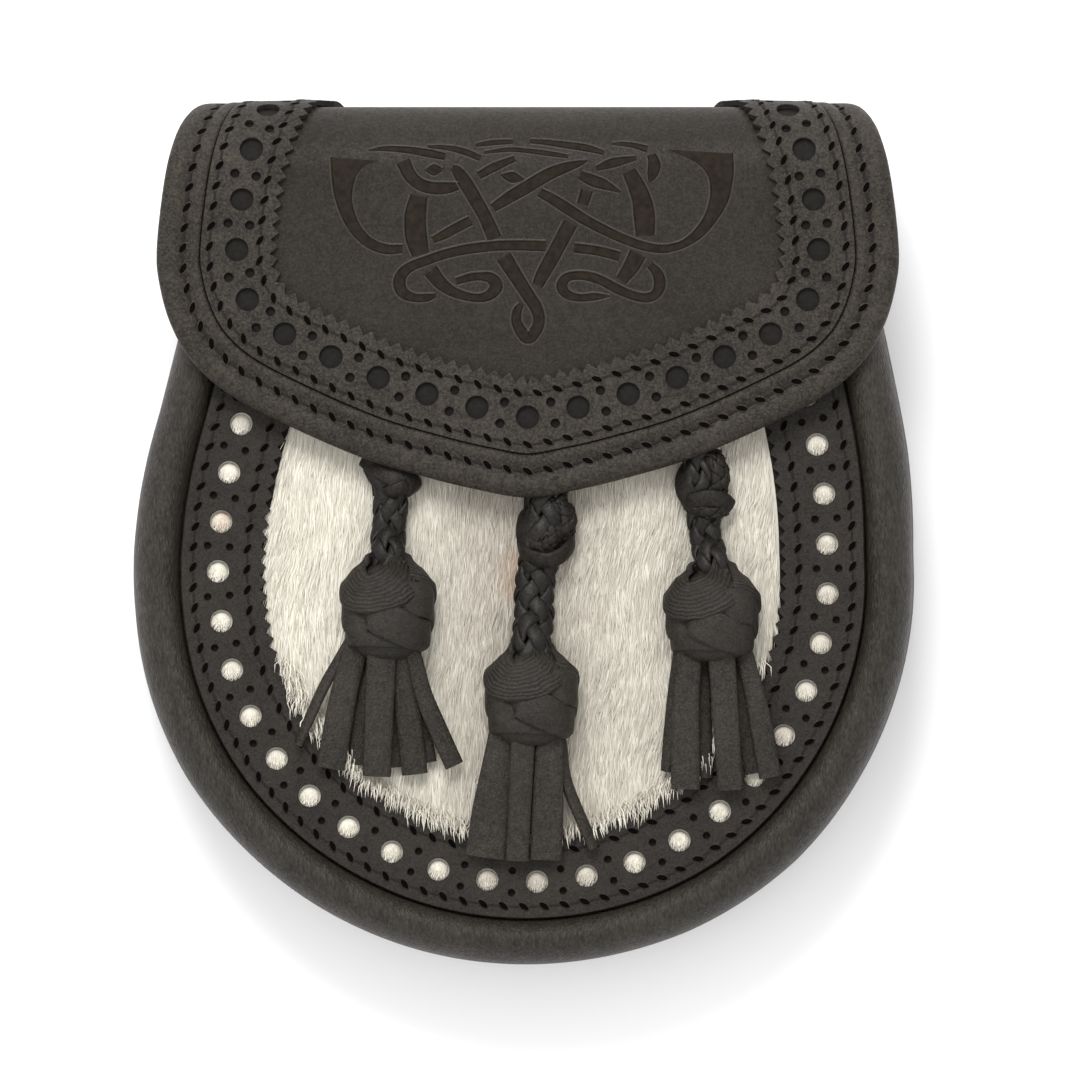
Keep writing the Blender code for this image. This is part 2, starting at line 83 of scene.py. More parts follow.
@dataclass
class Wiring:
    """Writes nodes and links into one node tree."""

    tree: bpy.types.NodeTree

    def feed(self, node: bpy.types.Node, inputs: dict) -> None:
        """Gives a node's inputs, by name or index, a value or a socket each."""
        for key, value in inputs.items():
            if isinstance(value, Socket):
                self.tree.links.new(value, node.inputs[key])
            else:
                node.inputs[key].default_value = value

    def add(self, kind: str, inputs: dict | None = None, **settings: object) -> bpy.types.Node:
        """Adds a node with its settings, and feeds its inputs."""
        node = self.tree.nodes.new(kind)
        for key, value in settings.items():
            setattr(node, key, value)
        self.feed(node, inputs or {})
        return node

    def math(self, operation: str, *values: float | Socket) -> Socket:
        """One arithmetic step on numbers or sockets."""
        return self.add("ShaderNodeMath", dict(enumerate(values)), operation=operation).outputs[0]

    def plus(self, *values: float | Socket) -> Socket:
        """The sum of numbers or sockets."""
        return reduce(partial(self.math, "ADD"), values)

    def times(self, *values: float | Socket) -> Socket:
        """The product of numbers or sockets."""
        return reduce(partial(self.math, "MULTIPLY"), values)

    def weighed(self, *shares: tuple[Socket, float]) -> Socket:
        """The sum of sockets, each times its weight."""
        return self.plus(*(self.times(*share) for share in shares))

    def spread(self, value: Socket, low: float, high: float, start: float = 0.0, end: float = 1.0) -> Socket:
        """Maps low..high to start..end and holds it there outside."""
        inputs = {"Value": value, "From Min": low, "From Max": high, "To Min": start, "To Max": end}
        return self.add("ShaderNodeMapRange", inputs).outputs[0]

    def noise(self, place: Socket, scale: float | Socket, detail: float, **more: float) -> Socket:
        """Soft noise between 0 and 1."""
        inputs = {"Vector": place, "Scale": scale, "Detail": detail, **more}
        return self.add("ShaderNodeTexNoise", inputs).outputs["Fac"]

    def random(self, low: float | Socket, high: float | Socket, seed: int | Socket) -> Socket:
        """A random number for each point."""
        return self.add("FunctionNodeRandomValue", {2: low, 3: high, "Seed": seed}, data_type="FLOAT").outputs[1]

    def blend(self, share: Socket, first: Colour | Socket, second: Colour) -> Socket:
        """The colour between two others."""
        first = first if isinstance(first, Socket) else (*first, 1.0)
        return self.add("ShaderNodeMix", {0: share, 6: first, 7: (*second, 1.0)}, data_type="RGBA").outputs[2]

    def bump(self, height: Socket, depth: float) -> Socket:
        """The normal of a face with this relief."""
        return self.add("ShaderNodeBump", {"Height": height, "Distance": depth, "Strength": 1.0}).outputs[0]


def new_group(name: str, kind: str, inputs: dict, outputs: dict) -> tuple[Wiring, dict[str, Socket], bpy.types.Node]:
    """Starts a node group with its sockets.

    Args:
        name: the group's name.
        kind: the type of tree.
        inputs: for each input its default number, or its type after "NodeSocket".
        outputs: the type of each output.

    Returns:
        The wiring, the group's input sockets by name, and its output node.
    """
    tree = bpy.data.node_groups.new(name, kind)
    for way, sockets in (("INPUT", inputs), ("OUTPUT", outputs)):
        for label, given in sockets.items():
            typed = given if isinstance(given, str) else type(given).__name__.capitalize()
            socket = tree.interface.new_socket(label, in_out=way, socket_type="NodeSocket" + typed)
            if typed != given:
                socket.default_value = given
    w = Wiring(tree)
    return w, {s.name: s for s in w.add("NodeGroupInput").outputs if s.name}, w.add("NodeGroupOutput")


@cache
def grain_group() -> bpy.types.NodeTree:
    """The grain that all the leathers share: pebbles with creases between them, pores, and slow wear."""
    inputs, outputs = {"Place": "Vector", "Cells": 900.0}, {"Height": "Float", "Wear": "Float"}
    w, given, leave = new_group("leather grain", "ShaderNodeTree", inputs, outputs)
    place, cells = given["Place"], given["Cells"]
    drift = w.add("ShaderNodeTexNoise", {"Vector": place, "Scale": w.times(cells, 0.55), "Detail": 2.0})
    shift = w.add("ShaderNodeVectorMath", {0: drift.outputs["Color"], "Scale": 1.4 * MM}, operation="SCALE")
    moved = w.add("ShaderNodeVectorMath", {0: place, 1: shift.outputs[0]}, operation="ADD")
    inputs = {"Vector": moved.outputs[0], "Scale": w.times(cells, 1.25)}
    pebble = w.add("ShaderNodeTexVoronoi", inputs, feature="DISTANCE_TO_EDGE")
    domed = w.math("POWER", w.spread(pebble.outputs["Distance"], 0.0, 0.45), 0.8)
    pores = w.noise(place, w.times(cells, 1.35), 5.0, Roughness=0.72)
    swell = w.noise(place, w.times(cells, 0.42), 3.0)
    slow = w.noise(place, 38.0, 5.0, Roughness=0.62)
    height = w.weighed((domed, 0.45), (pores, 0.75), (swell, 0.6))
    wear = w.weighed((domed, 0.10), (pores, 0.62), (swell, 0.16), (slow, 0.18))
    w.feed(leave, {"Height": height, "Wear": wear})
    return w.tree


@dataclass(frozen=True)
class Finish:
    """What all finishes have: a name, a slot of the record, and a material that is made once."""

    name: str
    slot: Slot | None

    @cache
    def material(self) -> bpy.types.Material:
        """The finish as a material."""
        material = bpy.data.materials.new(self.name)
        material.use_nodes = True
        w = Wiring(material.node_tree)
        place = w.add("ShaderNodeTexCoord").outputs["Object"]
        w.feed(w.tree.nodes["Principled BSDF"], self.shading(w, place))
        return material

    def shading(self, w: Wiring, place: Socket) -> dict[str, object]:
        """The shader's inputs, from the place on the piece."""
        raise NotImplementedError


@dataclass(frozen=True)
class Leather(Finish):
    """A leather finish: dyed colour, worn colour (also the painted highlight on the crests of lined creases), and
    grain.
    """

    dyed: Colour
    worn: Colour
    roughness: float = 0.55
    cell: float = 1.0 * MM
    depth: float = 0.07 * MM
    turn: float = 0.0
    stretch: float = 1.0
    specular: float = 0.26
    lined: float = 0.0

    def shading(self, w: Wiring, place: Socket) -> dict[str, object]:
        """Grain with wear on its high places, and creases along the strap where it is lined, with painted shade in
        their troughs and painted highlight on their crests.
        """
        turn, scale = (0.0, 0.0, math.radians(self.turn)), (1.0, 1.0 / self.stretch, 1.0)
        turned = w.add("ShaderNodeMapping", {"Vector": place, "Rotation": turn, "Scale": scale})
        grain = w.add("ShaderNodeGroup", node_tree=grain_group())
        w.feed(grain, {"Place": turned.outputs[0], "Cells": 1.0 / self.cell})
        wear, height = w.spread(grain.outputs["Wear"], 0.42, 0.62), grain.outputs["Height"]
        if self.lined:
            across = w.add("ShaderNodeAttribute", attribute_name="across").outputs["Fac"]
            ripple = w.noise(place, 240.0, 2.0)
            line = w.math("SINE", w.weighed((across, math.tau / self.lined), (ripple, 11.0)))
            height = w.plus(height, w.times(line, 0.5))
            # painted shade in the floor of each crease and painted highlight on its crest, mixed into the share of
            # the worn colour
            wear = w.plus(w.times(wear, 0.8), w.spread(line, -0.9, 0.5, -0.20, 0.18))
        return {
            "Base Color": w.blend(wear, self.dyed, self.worn),
            "Roughness": w.spread(wear, 0.0, 1.0, self.roughness + 0.07, self.roughness - 0.07),
            "Specular IOR Level": self.specular,
            "Normal": w.bump(height, self.depth),
        }


@dataclass(frozen=True)
class Plain(Finish):
    """A finish of one tone with a fine mottle, for thread, cut edges, scorched lines, steel, and the painted shade in
    slits, holes and notches.
    """

    colour: Colour
    mottle: Colour
    roughness: float = 0.8
    scale: float = 900.0
    depth: float = 0.03 * MM
    metallic: float = 0.0
    specular: float = 0.2

    def shading(self, w: Wiring, place: Socket) -> dict[str, object]:
        """The mottle, in colour and relief."""
        noise = w.noise(place, self.scale, 4.0)
        return {
            "Base Color": w.blend(w.spread(noise, 0.3, 0.7), self.colour, self.mottle),
            "Normal": w.bump(noise, self.depth),
            "Roughness": self.roughness,
            "Metallic": self.metallic,
            "Specular IOR Level": self.specular,
        }


@dataclass(frozen=True)
class PaleFloor(Finish):
    """The floor's nearly white paper."""

    light: Colour = (0.98, 0.975, 0.98)
    dull: Colour = (0.965, 0.96, 0.965)

    def shading(self, w: Wiring, place: Socket) -> dict[str, object]:
        """A very faint cloud."""
        tone = w.blend(w.noise(place, 6.0, 2.0), self.dull, self.light)
        return {"Base Color": tone, "Roughness": 0.9, "Specular IOR Level": 0.1}


@dataclass(frozen=True)
class HairFinish(Finish):
    """Cream and grey hair: a tone for each hair, whiter to the left, greyer in the middle."""

    by_hair: bool = True
    pale: Colour = (0.80, 0.77, 0.66)
    grey: Colour = (0.30, 0.258, 0.213)
    rust: Colour = (0.44, 0.28, 0.18)
    rust_spots: Table = ((-0.0022, -0.0075, 0.0415), (-0.0028, -0.0130, 0.0415), (-0.0732, 0.0030, 0.0415))

    def shading(self, w: Wiring, place: Socket) -> dict[str, object]:
        """The hair's tone from its own number, its place and long clouds, with a few rusty spots."""
        long = w.add("ShaderNodeMapping", {"Vector": place, "Scale": (1.0, 0.12, 1.0)}).outputs[0]
        if self.by_hair:
            tone = w.add("ShaderNodeAttribute", attribute_name="tone").outputs["Fac"]
        else:
            tone = w.noise(long, 420.0, 4.0)
        across = w.add("ShaderNodeSeparateXYZ", {0: place}).outputs["X"]
        right = w.spread(across, -45 * MM, 0.0, 0.0, 0.215)
        middle = w.spread(w.math("ABSOLUTE", w.plus(across, 6 * MM)), 6 * MM, 26 * MM, 0.22, 0.0)
        cloud = w.spread(w.noise(long, 55.0, 2.0), 0.35, 0.7, -0.12, 0.16)
        grey = w.spread(w.plus(w.spread(tone, 0.0, 1.0, -0.05, 0.55), right, cloud, middle), 0.0, 1.0)
        colour = w.blend(grey, self.pale, self.grey)
        for spot in self.rust_spots:
            gap = w.add("ShaderNodeVectorMath", {0: place, 1: spot}, operation="DISTANCE").outputs["Value"]
            share = w.times(w.spread(gap, 0.5 * MM, 4.8 * MM, 0.6, 0.0), w.spread(tone, 0.0, 0.8, 0.25, 1.0))
            colour = w.blend(share, colour, self.rust)
        return {"Base Color": colour, "Roughness": 0.5, "Specular IOR Level": 0.35}


BAND_LEATHER = Leather(
    "pebbled_band", Slot.FLAP, (0.0040, 0.0029, 0.0019), (0.0360, 0.0285, 0.0200), 0.6, 1.05 * MM, 0.14 * MM
)
FLAP_LEATHER = Leather(
    "smooth_flap", Slot.FLAP, (0.0070, 0.0051, 0.0031), (0.0205, 0.0160, 0.0110),
    0.54, 1.1 * MM, 0.05 * MM, specular=0.2,
)
RING_LEATHER = Leather(
    "ring_leather", Slot.BLACK, (0.0045, 0.0033, 0.0024), (0.0230, 0.0180, 0.0131), 0.62, 0.8 * MM, 0.06 * MM
)
ROLL_LEATHER = Leather(
    "rolled_edge", Slot.ROLLED, (0.0060, 0.0047, 0.0033), (0.0320, 0.0255, 0.0184),
    0.52, 0.9 * MM, 0.26 * MM, 35.0, 2.8, 0.3,
)
BACK_LEATHER = Leather(
    "back_leather", Slot.BLACK, (0.0080, 0.0062, 0.0046), (0.0240, 0.0190, 0.0142), 0.62, 1.2 * MM, 0.08 * MM
)
BRAID_LEATHER = Leather(
    "braid_lace", Slot.BRAIDED, (0.0018, 0.0014, 0.0009), (0.0155, 0.0122, 0.0088),
    0.45, 1.0 * MM, 0.09 * MM, specular=0.25,
)
KNOT_LEATHER = Leather(
    "knot_strap", Slot.BRAIDED, (0.0026, 0.0019, 0.0014), (0.0170, 0.0132, 0.0095),
    0.5, 1.2 * MM, 0.10 * MM, specular=0.22,
)
HEAD_LEATHER = Leather(
    "head_strap", Slot.BRAIDED, (0.0038, 0.0028, 0.0019), (0.0240, 0.0189, 0.0132),
    0.52, 0.75 * MM, 0.16 * MM, specular=0.3,
)
# its creases are darker in their troughs and lighter on their crests: painted shade and painted highlight
CREASED_LEATHER = Leather(
    "creased_strap", Slot.BRAIDED, (0.0032, 0.0024, 0.0016), (0.0276, 0.0217, 0.0152),
    0.52, 0.8 * MM, 0.18 * MM,
    specular=0.3, lined=0.95 * MM,
)
STRIP_LEATHER = Leather(
    "skirt_strips", Slot.BRAIDED, (0.0034, 0.0026, 0.0017), (0.0312, 0.0246, 0.0172),
    0.52, 0.9 * MM, 0.26 * MM, specular=0.3,
)
# the raised lips along the scorched ribbons, in a leather lighter than the flap's: painted highlight along each lip
RIDGE = Leather(
    "ridge_painted_highlight", Slot.FLAP, (0.0150, 0.0120, 0.0098), (0.034, 0.0280, 0.0230),
    0.5, 0.6 * MM, 0.01 * MM,
)
CUT_EDGE = Plain("cut_edge", Slot.BLACK, (0.008, 0.0068, 0.0060), (0.018, 0.0150, 0.0126))
THREAD = Plain("black_thread", Slot.BLACK, (0.007, 0.0058, 0.0048), (0.017, 0.0138, 0.0114), scale=1600.0)
# painted shade: the near-black finish of the slits, standing for the shade in the awl's holes
SLIT_SHADE = Plain("painted_slit_shade", Slot.BLACK, (0.0012, 0.0010, 0.0009), (0.003, 0.0024, 0.0022), 0.95, specular=0.03)
# painted shade: a dark finish for the thin sheets under holes and notches, standing for the shade in them
PAINTED_SHADE = Plain("painted_shade_floor", Slot.BLACK, (0.006, 0.0050, 0.0042), (0.012, 0.0100, 0.0086))
SCORCH = Plain(
    "scorched_line", Slot.FLAP, (0.0085, 0.0060, 0.0040), (0.0190, 0.0138, 0.0094),
    0.7, 620.0, specular=0.1,
)
BURNT_EDGE = Plain(
    "burnt_edge", Slot.FLAP, (0.0060, 0.0046, 0.0024), (0.0150, 0.0118, 0.0064),
    0.8, 520.0, specular=0.06,
)
HIDE_SKIN = HairFinish("hair_bed", Slot.HIDE, by_hair=False)
HAIR = HairFinish("cream_hair", Slot.HIDE)
STEEL = Plain("satin_steel", Slot.STEEL, (0.30, 0.29, 0.28), (0.36, 0.35, 0.34), 0.34, 1500.0, 0.01 * MM, 1.0)
FLOOR = PaleFloor("pale_floor", None)


# ---------------------------------------------------------------- meshes and pieces


def link(name: str, data: bpy.types.ID) -> Object:
    """A new object in the scene."""
    made = bpy.data.objects.new(name, data)
    bpy.context.scene.collection.objects.link(made)
    return made


def raw_mesh(name: str, points: Array, faces: Sequence[Sequence[int]], edges: Sequence[Sequence[int]] = ()) -> Mesh:
    """A mesh from points and faces as they stand."""
    mesh = bpy.data.meshes.new(name)
    mesh.from_pydata(np.asarray(points, float).tolist(), edges, faces)
    return mesh


def turn_outward(mesh: Mesh, weld: float = 0.0) -> Mesh:
    """The mesh with all its faces outward, and with points closer than weld made one."""
    work = bmesh.new()
    work.from_mesh(mesh)
    if weld:
        bmesh.ops.remove_doubles(work, verts=work.verts, dist=weld)
    bmesh.ops.recalc_face_normals(work, faces=work.faces)
    work.to_mesh(mesh)
    work.free()
    return mesh


def grid_faces(
    rows: int, columns: int, loop_rows: bool = False, loop_columns: bool = False, start: int = 0
) -> list[tuple[int, ...]]:
    """The quads of a grid of points that is stored row by row."""
    faces = []
    for i in range(rows - (not loop_rows)):
        low, high = start + i * columns, start + (i + 1) % rows * columns
        for j in range(columns - (not loop_columns)):
            k = (j + 1) % columns
            faces.append((low + j, low + k, high + k, high + j))
    return faces


def loft(name: str, rows: Sequence[Array]) -> Mesh:
    """A closed skin over closed sections, given as (sections, points in a section, 3), with flat ends."""
    rows = np.asarray(rows)
    count, width = rows.shape[:2]
    faces = grid_faces(count, width, loop_columns=True)
    faces += [tuple(range(width)), tuple(range((count - 1) * width, count * width))]
    return turn_outward(raw_mesh(name, rows.reshape(-1, 3), faces))


def show(
    name: str, mesh: Mesh, finishes: Sequence[Finish], replaces: Sequence[str] = (), crease: float = 35.0
) -> Object:
    """Makes a piece of the pouch from a finished mesh.

    Args:
        name: the piece's name.
        mesh: its mesh, in place.
        finishes: one finish for each material index.
        replaces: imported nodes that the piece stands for.
        crease: the angle in degrees above which an edge stays sharp.

    Returns:
        The piece.
    """
    mesh.name = name
    for finish in finishes:
        mesh.materials.append(finish.material())
    mesh.shade_smooth()
    mesh.set_sharp_from_angle(angle=math.radians(crease))
    piece = link(name, mesh)
    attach(piece, BODY)
    if replaces:
        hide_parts(*replaces)
    return piece


def joined(name: str, meshes: Sequence[Mesh]) -> Mesh:
    """Several meshes as one."""
    work = bmesh.new()
    for mesh in meshes:
        work.from_mesh(mesh)
        bpy.data.meshes.remove(mesh)
    whole = bpy.data.meshes.new(name)
    work.to_mesh(whole)
    work.free()
    return whole


def points_of(mesh: Mesh) -> Array:
    """The points of a mesh."""
    points = np.zeros(len(mesh.vertices) * 3, np.float32)
    mesh.vertices.foreach_get("co", points)
    return points.reshape(-1, 3).astype(float)


def set_points(mesh: Mesh, points: Array) -> Mesh:
    """The mesh with its points moved to these."""
    mesh.vertices.foreach_set("co", points.astype(np.float32).ravel())
    return mesh


# ---------------------------------------------------------------- lines and outlines


def full_turn(count: int) -> Array:
    """Angles at equal steps round a circle."""
    return np.linspace(0.0, math.tau, count, endpoint=False)


def polar(turn: Array, radius: float = 1.0) -> Array:
    """Flat points at these angles round the origin."""
    return radius * np.stack([np.cos(turn), np.sin(turn)], axis=1)


def blunt(wave: Array, power: float) -> Array:
    """A sine or cosine that stays near its ends for longer, the lower the power."""
    return np.sign(wave) * np.abs(wave) ** power


def unit(vectors: Array) -> Array:
    """Directions with a length of 1."""
    return vectors / np.linalg.norm(vectors, axis=-1, keepdims=True)


def to_left(tangent: Array) -> Array:
    """The flat directions to the left of these."""
    tangent = unit(tangent)
    return np.stack([-tangent[:, 1], tangent[:, 0]], axis=1)


def raised(flat: Array, height: Array | float) -> Array:
    """Flat points in space, at one height or one for each."""
    return np.column_stack([flat, np.broadcast_to(height, len(flat))])


def both_sides(half: Array) -> Array:
    """The right half of an outline with its mirror image, from the left end to the right one."""
    return np.vstack([half[:0:-1] * (-1.0, 1.0), half])


def curve_through(points: Array, steps: int) -> Array:
    """A smooth curve through the points (Catmull-Rom), with steps pieces between each two."""
    points = np.asarray(points, float)
    p = np.vstack([2 * points[0] - points[1], points, 2 * points[-1] - points[-2]])
    t = np.linspace(0.0, 1.0, steps, endpoint=False)[:, None]
    runs = []
    for a, b, c, d in zip(p, p[1:], p[2:], p[3:]):
        runs.append(0.5 * (2 * b + (c - a) * t + (2 * a - 5 * b + 4 * c - d) * t**2 + (3 * b - a - 3 * c + d) * t**3))
    return np.vstack([*runs, points[-1:]])


def ring_through(points: Array, steps: int) -> Array:
    """A smooth closed curve through the points."""
    wide = curve_through(np.vstack([points[-2:], points, points[:3]]), steps)
    return wide[2 * steps : (len(points) + 2) * steps]


def length_along(path: Array) -> Array:
    """The distance travelled at each point of a path."""
    return np.concatenate([[0.0], np.cumsum(np.linalg.norm(np.diff(path, axis=0), axis=1))])


def between(wanted: Array, known: Array, rows: Array) -> Array:
    """Rows of numbers at the wanted distances, from the rows at the known ones."""
    return np.stack([np.interp(wanted, known, column) for column in rows.T], axis=1)


def evenly(path: Array, spacing: float = 1.0 * MM) -> Array:
    """The path with its points at equal distances near spacing."""
    travelled = length_along(path)
    count = max(2, round(travelled[-1] / spacing)) + 1
    return between(np.linspace(0.0, travelled[-1], count), travelled, path)


def moved_in(path: Array, inset: float | Array) -> Array:
    """A flat path moved to its left, which is inwards on an outline that runs left, down and right."""
    return path + np.reshape(inset, (-1, 1)) * to_left(np.gradient(path, axis=0))


def closed_inset(loop: Array, inset: float) -> Array:
    """A closed outline moved to its left."""
    return loop + inset * to_left(np.roll(loop, -1, axis=0) - np.roll(loop, 1, axis=0))


def toothed(path: Array, pitch: float, depth: float, reaches: float) -> Array:
    """A flat path with pinked teeth of this pitch and depth, cut inwards wherever y is under reaches."""
    total = length_along(path)[-1]
    count = 2 * round(total / pitch)
    line = between(np.linspace(0.0, total, count + 1), length_along(path), path)
    cut = (np.arange(count + 1) % 2 == 1) & (line[:, 1] < reaches)
    return np.where(cut[:, None], moved_in(line, -depth), line)


def circle(centre: Array, radius: float, sides: int) -> Array:
    """A round outline."""
    return centre + polar(full_turn(sides), radius)


@dataclass(frozen=True)
class Brogueing:
    """A row of large holes with a pair of small ones between each two."""

    step: float
    shift: float
    radius: float
    small_radius: float
    small_apart: float
    large_sides: int = 28
    small_sides: int = 14

    def centres(self, path: Array, top: float) -> tuple[Array, Array]:
        """Where the holes go.

        Args:
            path: the line that the row follows.
            top: the holes stop at this y.

        Returns:
            The centres of the large holes, and of the small ones.
        """
        travelled = length_along(path)
        middle = 0.5 * travelled[-1] + self.shift
        count = int(middle / self.step)
        large = middle + self.step * np.arange(-count, count + 1)
        large = large[(large > 0) & (large < travelled[-1])]
        small = large + self.step / 2
        small = small[small < travelled[-1]]
        spots = between(large, travelled, path)
        edges = [moved_in(path, side * self.small_apart / 2) for side in (-1, 1)]
        pairs = np.vstack([between(small, travelled, edge) for edge in edges])
        return spots[spots[:, 1] < top], pairs[pairs[:, 1] < top]

    def outlines(self, path: Array, top: float) -> list[Array]:
        """The round outlines of all the holes."""
        large, small = self.centres(path, top)
        cuts = [circle(c, self.radius, self.large_sides) for c in large]
        return cuts + [circle(c, self.small_radius, self.small_sides) for c in small]


def distance_to(points: Array, path: Array) -> Array:
    """How far each flat point lies from the nearest point of a path."""
    nearest = np.full(len(points), np.inf)
    for start in range(0, len(path), 200):
        gap = points[:, None, :] - path[None, start : start + 200, :]
        nearest = np.minimum(nearest, np.sqrt((gap**2).sum(axis=2)).min(axis=1))
    return nearest


def within(points: Array, loop: Array) -> Array:
    """Tells which flat points lie inside a closed outline."""
    found = np.zeros(len(points), bool)
    near = np.all((points > loop.min(axis=0)) & (points < loop.max(axis=0)), axis=1)
    x, y = points[near, 0, None], points[near, 1, None]
    a, b = loop, np.roll(loop, -1, axis=0)
    spans = (a[:, 1] > y) != (b[:, 1] > y)
    with np.errstate(divide="ignore", invalid="ignore"):
        cross = x < (b[:, 0] - a[:, 0]) * (y - a[:, 1]) / (b[:, 1] - a[:, 1]) + a[:, 0]
    found[near] = (spans & cross).sum(axis=1) % 2 == 1
    return found


def cut_leather(outlines: Sequence[Array], low: float, thickness: float, softened: float = 0.16 * MM) -> Mesh:
    """A flat piece of leather cut to closed outlines, with slightly softened edges.

    Args:
        outlines: closed flat outlines: the outer one, then the holes.
        low: the height of its lower face.
        thickness: the leather's thickness.
        softened: the size of the softened edge.

    Returns:
        The mesh; its upright faces have material 1.
    """
    loops = []
    for index, outline in enumerate(outlines):
        x, y = outline.T
        area = np.sum(x * np.roll(y, -1) - y * np.roll(x, -1))
        loops.append(outline if (area > 0) == (index == 0) else outline[::-1])
    inner = [closed_inset(loop, softened) for loop in loops]
    rim = np.vstack(inner)
    limits = zip(rim.min(axis=0), rim.max(axis=0))
    x, y = np.meshgrid(*(np.arange(first + MESH_STEP / 2, last, MESH_STEP) for first, last in limits))
    x[::2] += MESH_STEP / 2
    inside = np.column_stack([x.ravel(), y.ravel()])
    inside = inside[distance_to(inside, rim) > 0.55 * MESH_STEP]
    edges, start = [], 0
    for loop in inner:
        edges += [(start + k, start + (k + 1) % len(loop)) for k in range(len(loop))]
        start += len(loop)
    spots = [Vector(p) for p in np.vstack([rim, inside]).tolist()]
    found = geometry.delaunay_2d_cdt(spots, edges, [], 2, 1e-7)
    flat, triangles = np.array([tuple(p) for p in found[0]]), np.array(found[2])
    middles = flat[triangles].mean(axis=1)
    kept = within(middles, inner[0])
    for loop in inner[1:]:
        kept &= ~within(middles, loop)
    triangles = triangles[kept]
    points = [raised(flat, thickness), raised(flat, 0.0)]
    faces = [tuple(f) for f in np.vstack([triangles, triangles + len(flat)]).tolist()]
    upright = [0] * len(faces)
    start = 2 * len(flat)
    for loop, inset in zip(loops, inner):
        for place, height in ((inset, thickness), (loop, thickness - softened), (loop, softened), (inset, 0.0)):
            points.append(raised(place, height))
        faces += grid_faces(4, len(loop), loop_columns=True, start=start)
        upright += np.repeat((0, 1, 0), len(loop)).tolist()
        start += 4 * len(loop)
    mesh = raw_mesh("cut", np.vstack(points) + (0.0, 0.0, low), faces)
    mesh.polygons.foreach_set("material_index", upright)
    return turn_outward(mesh, 0.001 * MM)


# ---------------------------------------------------------------- outlines of the body and the flap


@dataclass(frozen=True)
class BodyOutline:
    """The pouch seen from the front: a round bottom, sides that turn in, and a straight mouth."""

    radius: float = 95.25 * MM
    centre_y: float = -10.9 * MM
    side_radius: float = 167.0 * MM
    taper: float = math.radians(12.7)
    uneven: Table = (
        (-110.0, -0.5, -0.2), (-98.0, -0.2, 0.6), (-80.0, 0.1, 1.1), (-60.0, 0.7, 0.6), (-40.0, 0.5, 0.4),
        (-20.0, 0.0, 0.3), (-5.0, 0.1, 0.1), (10.0, -0.4, 0.9), (20.0, -0.9, 1.5), (30.0, -1.5, 1.9),
        (45.0, -1.9, 2.2), (90.0, -1.9, 2.2),
    )  # y, and how much further out the left and the right side lie there, in mm
    blend: float = 40.0 * MM  # how far out the left side's unevenness has given way to the right side's
    fade: float = 0.3  # the share of the unevenness that is gone at fade_inset
    fade_inset: float = 20.0 * MM

    def at(
        self, inset: float, top: float, round_steps: int = 80, side_steps: int = 16, rise_steps: int = 12
    ) -> Array:
        """The outline moved in, from the upper left round the bottom to the upper right.

        Args:
            inset: how far it lies inside the outer edge.
            top: the y where it ends.
            round_steps: steps on a quarter of the round bottom.
            side_steps: steps on the arc of a side.
            rise_steps: steps on the straight rise above it.

        Returns:
            The points, as (points, 2).
        """
        low = polar(np.linspace(-math.pi / 2, 0.0, round_steps + 1), self.radius - inset) + (0.0, self.centre_y)
        turn = np.linspace(0.0, self.taper, side_steps + 1)[1:]
        side = polar(turn, self.side_radius - inset) + (self.radius - self.side_radius, self.centre_y)
        rise = (top - side[-1, 1]) * np.linspace(0.0, 1.0, rise_steps + 1)[1:]
        upper = side[-1] + np.stack([-rise * math.tan(self.taper), rise], axis=1)
        path = both_sides(np.vstack([low, side, upper]))
        y, left, right = np.array(self.uneven).T * MM
        share = np.clip((path[:, 0] + self.blend) / (2 * self.blend), 0.0, 1.0)
        out = np.interp(path[:, 1], y, left) * (1 - share) + np.interp(path[:, 1], y, right) * share
        return moved_in(path, -out * (1.0 - self.fade * min(1.0, max(0.0, inset) / self.fade_inset)))


